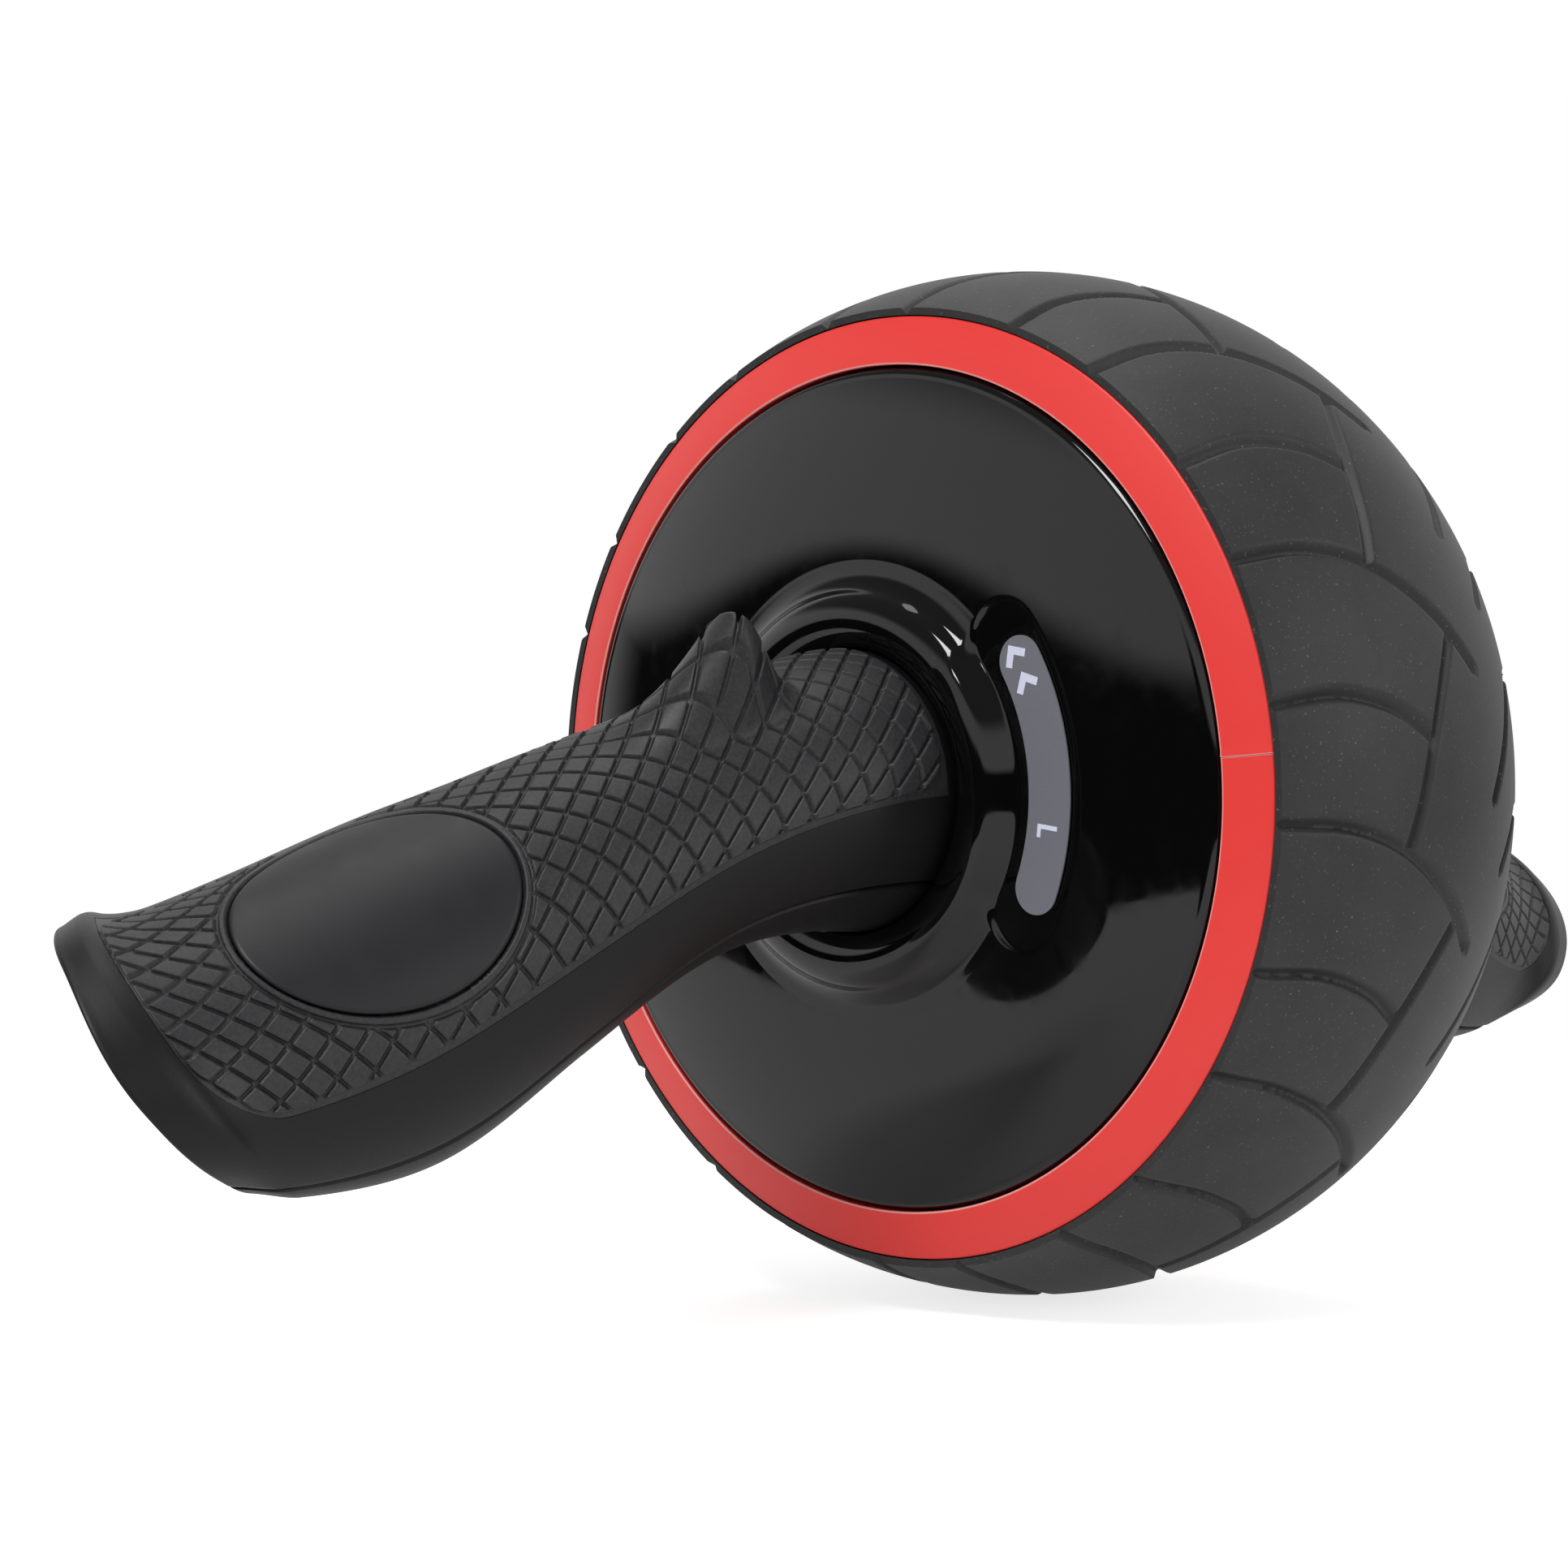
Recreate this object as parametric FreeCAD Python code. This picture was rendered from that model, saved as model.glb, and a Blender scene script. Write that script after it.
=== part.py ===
import FreeCAD, Part
import math
import os
from FreeCAD import Vector

# Ab wheel roller with a spring-return wheel.
# Frame: the axle lies along Y with +Y at the user's left hand, +X is forward and +Z is up.
# The origin is the wheel's centre.

# Tyre and trim ring
tyre_radius = 95.0
tyre_half_width = 34.8
tyre_crown = 8.7
tyre_wall = 6.3
tyre_lip = 1.5
tread_count = 12
tread_start = 4.1
tread_depth = 1.4
tread_width = 3.4
ring_width = 8.8
ring_edge = 1.8
ring_rise = 2.8
ring_seam_gap = 0.3
ring_seam_angle = 176.0

# Lines of the tread's grooves, by share of the half width and by degrees round the tyre
tread_lines = (
    ((0.95, 0.0), (0.63, 0.4), (0.27, 3.0), (-0.09, 8.0), (-0.39, 14.0)),
    ((0.94, 16.8), (0.66, 16.4), (0.34, 18.2), (0.16, 20.3)),
    ((-0.17, 12.6), (-0.06, 15.6), (0.075, 21.6), (0.18, 28.0), (0.235, 31.0)),
    ((-0.95, -15.0), (-0.75, -8.0), (-0.55, -2.0)),
    ((-0.95, 1.0), (-0.75, 6.0)),
)

# Rim halves
rim_wall = 4.0
rim_web = 4.0
rim_web_depth = 7.0
rim_ledge = 8.0
rim_boss_radius = 5.0
rim_boss_inset = 9.0
rim_screw_count = 6
rim_hub_wall = 6.0

# Hub cover and its label
cover_wall = 2.5
cover_edge_height = 3.2
cover_edge_round = 1.8
cover_height = 10.4
cover_belly = 1.0
lip_width = 8.7
lip_height = 5.0
lip_round = 1.5
sweep_width = 6.5
sweep_hollow = 1.0
land_depth = 0.5
land_side = 4.5
land_rim = 1.0
land_end = 7.8
label_inset = 1.8
label_width = 9.1
label_angle = 176.1
label_half_span = 26.5
label_thickness = 0.3

# Axle and bearings
axle_radius = 8.0
axle_reach = 31.0
bush_wall = 4.0
bush_flange = 3.0
bush_flange_thickness = 2.0
washer_thickness = 1.5
washer_width = 5.0
circlip_thickness = 1.2
circlip_height = 2.5
circlip_groove = 0.5
circlip_mouth = 60.0

# Return spring
spring_width = 28.0
spring_thickness = 0.8
spring_turns = 9
cup_wall = 4.0
cup_base = 4.0
lid_thickness = 2.0
cup_hole_gap = 2.0
arbor_wall = 8.0
arbor_pin_radius = 2.0

# Handle: a spine that leaves the hub along the axle and drops forward, with oval sections
neck_inset = 1.4
neck_radius = 25.0
spigot_length = 3.0
spine_start_pull = 60.0
handle_reach = 131.8
handle_forward = 27.4
handle_drop = 39.5
spine_end_pull = 59.4
spine_end_forward = 2.0
spine_end_drop = 2.2
end_normal = Vector(0.559, 0.574, -0.599)
end_turn_power = 1.45
top_tilt = 49.5
top_twist = -12.2
section_stations = (0.0, 0.25, 0.5, 0.75, 1.0)
section_heights = (neck_radius, 21.0, 23.5, 27.9, 28.9)
section_widths = (neck_radius, 22.7, 25.8, 29.3, 26.6)
shell_wall = 3.4
parting_gap = 0.15
cavity_start = 0.27
cavity_end = 0.93
station_step = 0.05

# Rubber grip, palm pad and thumb ridge
grip_thickness = 2.0
grip_half_angle = 51.3
grip_start = 0.004
grip_end = 0.925
horn_height = 16.0
horn_station = 0.23
horn_rise = 0.17
horn_fall = 0.1
horn_hollow = 2.3
horn_angle = 20.5
horn_reach_front = 30.0
horn_reach_back = 24.0
pad_station = 0.706
pad_shift = 1.8
pad_half_length = 24.3
pad_half_width = 18.5
checker_stations = (0.1, 0.27, 0.44)
checker_reach = 0.19
checker_depth = 0.9
checker_width = 1.8

# Handle socket and screws
socket_wall = 3.5
lock_screw_inset = 18.0
lock_screw_radius = 3.0
lock_screw_head = 4.6
lock_screw_recess = 5.0
handle_screw_stations = (0.4, 0.62, 0.84)
handle_boss_radius = 4.5

# Screws shared by the inside of the wheel
screw_radius = 2.0
screw_head_radius = 3.6
screw_head_height = 2.4
small_screw_radius = 1.25
small_screw_head = 2.0
small_screw_length = 10.0
lid_screw_count = 4
cup_screw_count = 4

# Clearances
running_clearance = 0.05
cup_clearance = 4.0
socket_end_gap = 2.0
side_clearance = 0.2
cover_clearance = 0.4
neck_clearance = 0.8
glue_gap = 0.2
screw_clearance = 0.2
pad_gap = 0.3
spring_end_gap = 0.3
overcut = 1.0

AXLE = Vector(0, 1, 0)
ORIGIN = Vector(0, 0, 0)

# Places worked out from the sizes above
shoulder_radius = tyre_radius - tyre_crown
ring_outer = shoulder_radius - tyre_lip
ring_inner = ring_outer - ring_width
seat_y = tyre_half_width - ring_edge
rim_radius = shoulder_radius - tyre_wall
rim_inner = rim_radius - rim_wall
rim_web_y = seat_y - rim_web_depth
cover_radius = ring_inner - cover_clearance
cover_face_y = seat_y + cover_height
lip_y = cover_face_y + lip_height
land_y = cover_face_y - land_depth
cover_bore = neck_radius + neck_clearance
lip_radius = cover_bore + lip_width
cover_face_radius = lip_radius + sweep_width
label_inner = cover_face_radius - label_inset
neck_y = lip_y - neck_inset
axle_half_length = neck_y + axle_reach
bush_radius = axle_radius + bush_wall
bush_bore = axle_radius + running_clearance
bush_length = rim_web + cup_base
web_outer_y = rim_web_y + rim_web
bush_outer_y = web_outer_y + bush_flange_thickness
washer_y = bush_outer_y + side_clearance
circlip_y = washer_y + washer_thickness
screw_circle = rim_inner - rim_boss_inset
cup_radius = screw_circle - rim_boss_radius - cup_clearance
cup_inner = cup_radius - cup_wall
cup_floor_y = -rim_web_y + cup_base
spring_start_y = cup_floor_y + side_clearance
spring_top_y = spring_start_y + spring_width
lid_y = spring_top_y + side_clearance
arbor_radius = axle_radius + arbor_wall
cup_screw_circle = (arbor_radius + cup_inner) / 2
end_centre = Vector(handle_forward, neck_y + handle_reach, -handle_drop)
end_pull = Vector(spine_end_forward, spine_end_pull, -spine_end_drop)
socket_start = neck_y - spigot_length
socket_end = axle_half_length + socket_end_gap
lock_screw_y = axle_half_length - lock_screw_inset


def save(name, shape):
    shape.exportStep(os.path.join("parts", name + ".step"))


def segment(start, end):
    return Part.LineSegment(Vector(start[0], start[1], 0), Vector(end[0], end[1], 0)).toShape()


def arc(start, middle, end):
    points = [Vector(p[0], p[1], 0) for p in (start, middle, end)]
    return Part.Arc(*points).toShape()


def turned(edges):
    """Solid turned about the axle from a closed outline of (radius, y) edges."""
    face = Part.Face(Part.Wire(edges))
    return face.revolve(ORIGIN, AXLE, 360)


def turned_polygon(corners):
    closed = list(corners) + [corners[0]]
    return turned([segment(a, b) for a, b in zip(closed, closed[1:])])


def tube(inner, outer, y_from, y_to):
    return turned_polygon([(inner, y_from), (outer, y_from), (outer, y_to), (inner, y_to)])


def rod(radius, start, end):
    direction = end - start
    return Part.makeCylinder(radius, direction.Length, start, direction)


def polar(radius, angle, y):
    turn = math.radians(angle)
    return Vector(radius * math.cos(turn), y, radius * math.sin(turn))


def mirrored(shape):
    return shape.mirror(ORIGIN, AXLE)


def both_sides(name, shape):
    save(name + "_left", shape)
    save(name + "_right", mirrored(shape))


def groove_tool(places, width, depth):
    """Cutter with a V section along a line of points, each with its outward normal."""
    wires = []
    for i, (point, normal) in enumerate(places):
        ahead = places[min(i + 1, len(places) - 1)][0] - places[max(i - 1, 0)][0]
        rise = normal * overcut
        half = ahead.cross(normal).normalize() * (width / 2 * (1 + overcut / depth))
        corners = [point - normal * depth, point + rise + half, point + rise - half]
        wires.append(Part.makePolygon(corners + corners[:1]))
    return Part.makeLoft(wires, True, False)


def crown_place(share, angle):
    """Point on the tread, with its outward normal."""
    bow = (tyre_half_width ** 2 + tyre_crown ** 2) / (2 * tyre_crown)
    lean = math.asin(share * tyre_half_width / bow)
    radius = tyre_radius - bow * (1 - math.cos(lean))
    return polar(radius, angle, share * tyre_half_width), polar(math.cos(lean), angle, math.sin(lean))


def make_tread_tools():
    tools = []
    for line in tread_lines:
        places = [crown_place(share, tread_start + angle) for share, angle in line]
        for i in range(tread_count):
            tool = groove_tool(places, tread_width, tread_depth)
            tool.rotate(ORIGIN, AXLE, 360.0 * i / tread_count)
            tools.append(tool)
    return tools


def make_tyre():
    edge = (shoulder_radius, tyre_half_width)
    lip = (ring_outer + glue_gap, tyre_half_width)
    step = (ring_outer + glue_gap, seat_y)
    seat = (rim_radius, seat_y)
    side = [edge, lip, step, seat]
    other = [(r, -y) for r, y in side]
    crown = arc(other[0], (tyre_radius, 0), edge)
    left = [segment(a, b) for a, b in zip(side, side[1:])]
    right = [segment(b, a) for a, b in zip(other, other[1:])]
    band = turned([crown] + left + [segment(seat, other[-1])] + right[::-1])
    return band.cut(make_tread_tools())


def make_trim_ring():
    ring = turned_polygon([
        (ring_inner, seat_y),
        (ring_outer, seat_y),
        (ring_outer, tyre_half_width),
        (ring_inner, tyre_half_width + ring_rise),
    ])
    slit = Part.makeBox(2 * tyre_radius, 2 * tyre_half_width, ring_seam_gap,
                        Vector(0, 0, -ring_seam_gap / 2))
    slit.rotate(ORIGIN, AXLE, -ring_seam_angle)
    return ring.cut(slit)


def rim_screw_angles():
    return [360.0 * i / rim_screw_count for i in range(rim_screw_count)]


def cup_screw_angles():
    return [360.0 * (i + 0.5) / cup_screw_count for i in range(cup_screw_count)]


def make_rim(screw_head_side):
    """One rim half on the +Y side: barrel, web, hub boss and the bosses that meet the other half."""
    ledge = rim_radius - rim_wall - rim_ledge
    rim = turned_polygon([
        (rim_inner, 0), (rim_radius, 0), (rim_radius, seat_y), (ledge, seat_y), (ledge, web_outer_y),
        (bush_radius, web_outer_y), (bush_radius, web_outer_y - bush_length),
        (bush_radius + rim_hub_wall, web_outer_y - bush_length), (bush_radius + rim_hub_wall, rim_web_y),
        (rim_inner, rim_web_y),
    ])
    for angle in rim_screw_angles():
        foot = polar(screw_circle, angle, 0)
        rim = rim.fuse(rod(rim_boss_radius, foot, polar(screw_circle, angle, rim_web_y)))
    hole = screw_radius + (screw_clearance if screw_head_side else 0)
    holes = [rod(hole, polar(screw_circle, angle, 0), polar(screw_circle, angle, web_outer_y))
             for angle in rim_screw_angles()]
    if screw_head_side:
        pocket = screw_head_radius + screw_clearance
        holes += [rod(pocket, polar(screw_circle, angle, web_outer_y), polar(screw_circle, angle, seat_y))
                  for angle in rim_screw_angles()]
        holes += [rod(hole, polar(cup_screw_circle, angle, rim_web_y),
                      polar(cup_screw_circle, angle, web_outer_y)) for angle in cup_screw_angles()]
    return rim.cut(holes).removeSplitter()


def make_screw(radius, head_radius, head_height, seat, direction, length):
    """A pan-head screw with its head seated at a point and its shank running along a direction."""
    shank = rod(radius, seat, seat + direction * length)
    head = rod(head_radius, seat - direction * head_height, seat)
    return shank.fuse(head).removeSplitter()


def wheel_screw(seat, length):
    return make_screw(screw_radius, screw_head_radius, screw_head_height, seat, AXLE, length)


def make_rim_screws():
    length = web_outer_y + rim_web_y
    seats = [polar(screw_circle, angle, -web_outer_y) for angle in rim_screw_angles()]
    return Part.makeCompound([wheel_screw(seat, length) for seat in seats])


def make_cup_screws():
    seats = [polar(cup_screw_circle, angle, -web_outer_y) for angle in cup_screw_angles()]
    return Part.makeCompound([wheel_screw(seat, rim_web + cup_base) for seat in seats])


def lid_screw_seats():
    circle = cup_radius - cup_wall / 2
    angles = [360.0 * i / lid_screw_count for i in range(lid_screw_count)]
    return [polar(circle, angle, lid_y + lid_thickness) for angle in angles]


def make_lid_screws():
    head = small_screw_head
    return Part.makeCompound([make_screw(small_screw_radius, head, head, seat, -AXLE, small_screw_length)
                              for seat in lid_screw_seats()])


def make_spring_cup():
    hole = bush_radius + rim_hub_wall + cup_hole_gap
    cup = turned_polygon([
        (hole, -rim_web_y), (cup_radius, -rim_web_y), (cup_radius, lid_y), (cup_inner, lid_y),
        (cup_inner, cup_floor_y), (hole, cup_floor_y),
    ])
    holes = [rod(screw_radius, polar(cup_screw_circle, angle, -rim_web_y),
                 polar(cup_screw_circle, angle, cup_floor_y)) for angle in cup_screw_angles()]
    holes += [rod(small_screw_radius, seat, seat - AXLE * small_screw_length) for seat in lid_screw_seats()]
    return cup.cut(holes)


def make_spring_lid():
    lid = tube(bush_radius + rim_hub_wall + cup_hole_gap, cup_radius, lid_y, lid_y + lid_thickness)
    for seat in lid_screw_seats():
        lid = lid.cut(rod(small_screw_radius, seat, seat - AXLE * lid_thickness))
    return lid


def make_power_spring():
    """Flat strip wound in half circles, from the arbor out to the wall of the cup."""
    half = spring_thickness / 2
    first = arbor_radius + spring_end_gap + half
    last = cup_inner - spring_end_gap - half
    halves = 2 * spring_turns
    step = (last - first) / halves
    inner_edges = []
    outer_edges = []
    for i in range(halves):
        radius = first + step * i
        centre = 0.0 if i % 2 == 0 else step
        side = 1 if i % 2 == 0 else -1
        for edges, r in ((inner_edges, radius - half), (outer_edges, radius + half)):
            start = Vector(centre + side * r, spring_start_y, 0)
            middle = Vector(centre, spring_start_y, side * r)
            end = Vector(centre - side * r, spring_start_y, 0)
            edges.append((start, middle, end))
    caps = [(inner_edges[0][0], outer_edges[0][0]), (inner_edges[-1][2], outer_edges[-1][2])]
    edges = [Part.Arc(*points).toShape() for points in inner_edges + outer_edges]
    edges += [Part.LineSegment(a, b).toShape() for a, b in caps]
    wire = Part.Wire(Part.__sortEdges__(edges))
    return Part.Face(wire).extrude(AXLE * spring_width)


def arc_slot(middle_radius, half_width, half_span, y_from, y_to):
    """A curved slot shape with round ends, centred on the label's direction."""
    inner = middle_radius - half_width
    outer = middle_radius + half_width
    first = label_angle - half_span
    last = label_angle + half_span
    lead = math.degrees(half_width / middle_radius)
    corners = [
        (outer, first), (outer, label_angle), (outer, last), (middle_radius, last + lead),
        (inner, last), (inner, label_angle), (inner, first), (middle_radius, first - lead), (outer, first),
    ]
    points = [polar(radius, angle, y_from) for radius, angle in corners]
    wire = Part.Wire([Part.Arc(*points[i:i + 3]).toShape() for i in (0, 2, 4, 6)])
    return Part.Face(wire).extrude(AXLE * (y_to - y_from))


def bowed(start, end, rise):
    """Point that an arc passes through when it bows out from the middle of its chord."""
    across, along = end[0] - start[0], end[1] - start[1]
    share = rise / math.hypot(across, along)
    return (start[0] + end[0]) / 2 + along * share, (start[1] + end[1]) / 2 - across * share


def make_hub_cover():
    edge_y = seat_y + cover_edge_height
    edge_foot = (cover_radius, edge_y)
    edge_top = (cover_radius - cover_edge_round, edge_y + cover_edge_round)
    quarter = cover_edge_round * math.sqrt(0.5)
    edge_mid = (edge_top[0] + quarter, edge_y + quarter)
    face_end = (cover_face_radius, cover_face_y)
    face_mid = bowed(edge_top, face_end, cover_belly)
    lip_out = (lip_radius, lip_y - lip_round)
    sweep_mid = bowed(face_end, lip_out, -sweep_hollow)
    lip_in = (cover_bore, lip_y - lip_round)
    lip_mid = ((lip_radius + cover_bore) / 2, lip_y)
    bore_end = (cover_bore, cover_face_y - cover_wall / 2)
    skirt_in = (cover_bore + cover_wall, bore_end[1])
    throat = (cover_bore + cover_wall, lip_in[1] - cover_wall / 2)
    under_lip = (lip_radius - cover_wall / 2, lip_in[1] - cover_wall / 2)
    under_face = (cover_face_radius, cover_face_y - cover_wall)
    under_mid = (face_mid[0], face_mid[1] - cover_wall)
    under_edge = (cover_radius - cover_edge_round - cover_wall, edge_top[1] - cover_wall)
    foot_in = (under_edge[0], seat_y)
    foot_out = (cover_radius, seat_y)
    outside = [
        segment(foot_out, edge_foot),
        arc(edge_foot, edge_mid, edge_top),
        arc(edge_top, face_mid, face_end),
        arc(face_end, sweep_mid, lip_out),
        arc(lip_out, lip_mid, lip_in),
    ]
    bore_foot = (cover_bore, seat_y)
    filled = turned(outside + [segment(lip_in, bore_foot), segment(bore_foot, foot_out)])
    cover = turned(outside + [
        segment(lip_in, bore_end),
        segment(bore_end, skirt_in),
        segment(skirt_in, throat),
        segment(throat, under_lip),
        segment(under_lip, under_face),
        arc(under_face, under_mid, under_edge),
        segment(under_edge, foot_in),
        segment(foot_in, foot_out),
    ])
    half_width = (label_width + land_side + land_rim) / 2
    middle = label_inner - land_side + half_width
    end_angle = label_half_span + math.degrees((label_width / 2 + land_end) / (label_inner + label_width / 2))
    half_span = end_angle - math.degrees(half_width / middle)
    bed = arc_slot(middle, half_width + cover_wall, half_span, land_y - cover_wall, lip_y).common(filled)
    pocket = arc_slot(middle, half_width, half_span, land_y, lip_y)
    return cover.fuse(bed).cut(pocket).removeSplitter()


def make_label():
    middle = label_inner + label_width / 2
    return arc_slot(middle, label_width / 2, label_half_span, land_y, land_y + label_thickness)


def make_bush():
    inner_end = web_outer_y - bush_length
    return turned_polygon([
        (bush_bore, inner_end), (bush_radius, inner_end), (bush_radius, web_outer_y),
        (bush_radius + bush_flange, web_outer_y), (bush_radius + bush_flange, bush_outer_y),
        (bush_bore, bush_outer_y),
    ])


def make_axle():
    axle = rod(axle_radius, Vector(0, -axle_half_length, 0), Vector(0, axle_half_length, 0))
    for side in (1, -1):
        groove = tube(axle_radius - circlip_groove, axle_radius + overcut,
                      circlip_y, circlip_y + circlip_thickness)
        axle = axle.cut(groove if side > 0 else mirrored(groove))
        point = Vector(0, side * lock_screw_y, -axle_radius)
        dimple = rod(lock_screw_radius, point - Vector(0, 0, overcut), point + Vector(0, 0, axle_radius))
        axle = axle.cut(dimple)
    return axle.cut(arbor_pin_hole())


def arbor_pin_hole():
    return rod(arbor_pin_radius, Vector(0, 0, -arbor_radius), Vector(0, 0, arbor_radius))


def make_arbor():
    return tube(axle_radius, arbor_radius, spring_start_y, spring_top_y).cut(arbor_pin_hole())


def make_washer():
    return tube(axle_radius, axle_radius + washer_width, washer_y, circlip_y)


def make_circlip():
    inner = axle_radius - circlip_groove
    clip = tube(inner, inner + circlip_height + circlip_groove, circlip_y, circlip_y + circlip_thickness)
    reach = 3 * axle_radius
    half = math.radians(circlip_mouth / 2)
    foot = circlip_y - overcut
    wedge = Part.makePolygon([
        Vector(0, foot, 0), Vector(reach * math.cos(half), foot, reach * math.sin(half)),
        Vector(reach * math.cos(half), foot, -reach * math.sin(half)), Vector(0, foot, 0),
    ])
    return clip.cut(Part.Face(wedge).extrude(AXLE * (circlip_thickness + 2 * overcut)))


def blend(stations, values, u):
    """Smooth curve through values at stations, held steady before the first and after the last."""
    last = len(stations) - 1
    if u <= stations[0]:
        return values[0]
    if u >= stations[last]:
        return values[last]
    i = max(k for k in range(last) if stations[k] <= u)

    def slope(k):
        low, high = max(k - 1, 0), min(k + 1, last)
        return (values[high] - values[low]) / (stations[high] - stations[low])

    span = stations[i + 1] - stations[i]
    t = (u - stations[i]) / span
    start_weight = (1 + 2 * t) * (1 - t) ** 2
    return (start_weight * values[i] + (1 - start_weight) * values[i + 1]
            + span * t * (1 - t) ** 2 * slope(i) - span * t * t * (1 - t) * slope(i + 1))


def spine(u):
    start = Vector(0, neck_y, 0)
    controls = (start, start + AXLE * spine_start_pull, end_centre - end_pull, end_centre)
    weights = ((1 - u) ** 3, 3 * u * (1 - u) ** 2, 3 * u * u * (1 - u), u ** 3)
    point = Vector(0, 0, 0)
    for control, weight in zip(controls, weights):
        point += control * weight
    return point


def section_axes(u):
    """Normal of the section, its top direction and its forward direction."""
    turn = max(u, 0.0) ** end_turn_power
    normal = (AXLE * (1 - turn) + end_normal * turn).normalize()
    tilt = math.radians(top_tilt)
    top = Vector(-math.cos(tilt), 0, math.sin(tilt))
    top = (top - normal * normal.dot(top)).normalize()
    front = normal.cross(top)
    twist = math.radians(top_twist) * max(u, 0.0)
    turned_top = top * math.cos(twist) + front * math.sin(twist)
    return normal, turned_top, normal.cross(turned_top)


def smooth_step(t):
    t = min(max(t, 0.0), 1.0)
    return t * t * (3 - 2 * t)


def horn(u, angle):
    """Height of the thumb ridge: a hollow rise from the grip to its crest and a round fall to the neck."""
    if u > horn_station:
        along = max(1 - (u - horn_station) / horn_rise, 0.0) ** horn_hollow
    else:
        along = smooth_step(1 - (horn_station - u) / horn_fall)
    reach = horn_reach_front if angle > horn_angle else horn_reach_back
    across = smooth_step(1 - abs(angle - horn_angle) / reach)
    return horn_height * along * across


def handle_point(u, angle, inset, raised=0.0):
    _, top, front = section_axes(u)
    turn = math.radians(angle)
    height = blend(section_stations, section_heights, u) - inset + raised
    width = blend(section_stations, section_widths, u) - inset + raised
    return spine(u) + top * (height * math.cos(turn)) + front * (width * math.sin(turn))


def curve(u, first, last, inset, with_horn=False):
    count = 21 if with_horn else 13
    points = []
    for i in range(count):
        angle = first + (last - first) * i / (count - 1)
        points.append(handle_point(u, angle, inset, horn(u, angle) if with_horn else 0.0))
    spline = Part.BSplineCurve()
    spline.interpolate(points)
    return spline.toShape()


def line_between(first_edge, second_edge):
    return Part.LineSegment(first_edge.Vertexes[-1].Point, second_edge.Vertexes[0].Point).toShape()


def even_stations(first, last, step=station_step):
    count = max(2, math.ceil((last - first) / step))
    return [first + (last - first) * i / count for i in range(count + 1)]


def handle_stations():
    return [-spigot_length / (3 * spine_start_pull)] + even_stations(0.0, 1.0)


def make_half(first, last, drop):
    """One solid half of the handle, with its flat parting face dropped a little along the section."""
    wires = []
    for u in handle_stations():
        outer = curve(u, first, last, 0.0)
        outer.translate(section_axes(u)[1] * drop)
        wires.append(Part.Wire([outer, line_between(outer, outer)]))
    return Part.makeLoft(wires, True, False)


def make_skin(stations, outer_inset, inner_inset, half_angle, with_horn):
    """A curved strip over the top of the handle; with the horn it runs straight from station to station."""
    wires = []
    for u in stations:
        outer = curve(u, -half_angle, half_angle, outer_inset, with_horn)
        inner = curve(u, half_angle, -half_angle, inner_inset)
        wires.append(Part.Wire([outer, line_between(outer, inner), inner, line_between(inner, outer)]))
    return Part.makeLoft(wires, True, with_horn)


def grip_stations(first, last):
    foot = horn_station - horn_fall
    peak = horn_station
    end = horn_station + horn_rise
    fine = station_step / 3
    return (even_stations(first, foot, station_step / 2)[:-1] + even_stations(foot, peak, fine)[:-1]
            + even_stations(peak, end, fine)[:-1] + even_stations(end, last))


def make_cavity():
    inset = grip_thickness + shell_wall
    wires = []
    for u in even_stations(cavity_start, cavity_end):
        front = curve(u, 0, 180, inset)
        back = curve(u, 180, 360, inset)
        wires.append(Part.Wire([front, back]))
    return Part.makeLoft(wires, True, False)


def handle_screw_lines():
    lines = []
    for u in handle_screw_stations:
        height = blend(section_stations, section_heights, u)
        lines.append((spine(u), section_axes(u)[1], height))
    return lines


def make_checker_tools():
    """Cutters for the main slanted grooves, which cross at the top of the grip in pairs and stop at the horn."""
    count = 24
    shares = [2.0 * i / count - 1 for i in range(count + 1)]
    tools = []
    for station in checker_stations:
        for lean in (-1, 1):
            places = []
            for share in shares:
                u = station + share * checker_reach
                angle = lean * share * grip_half_angle
                if u > grip_start and horn(u, angle) == 0:
                    outward = handle_point(u, angle, 0) - handle_point(u, angle, overcut)
                    places.append((handle_point(u, angle, 0), outward.normalize()))
                elif len(places) > 2:
                    tools.append(groove_tool(places, checker_width, checker_depth))
                    places = []
            if len(places) > 2:
                tools.append(groove_tool(places, checker_width, checker_depth))
    return tools


def pad_outline(grow):
    """Oval prism through the grip at the palm pad, standing square to the pad."""
    normal, top, front = section_axes(pad_station)
    centre = handle_point(pad_station, 0, pad_half_width) + front * pad_shift
    length_end = centre + normal * (pad_half_length + grow)
    ellipse = Part.Ellipse(length_end, centre + front * (pad_half_width + grow), centre)
    face = Part.Face(Part.Wire([ellipse.toShape()]))
    return face.extrude(top * (pad_half_width + horn_height))


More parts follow.
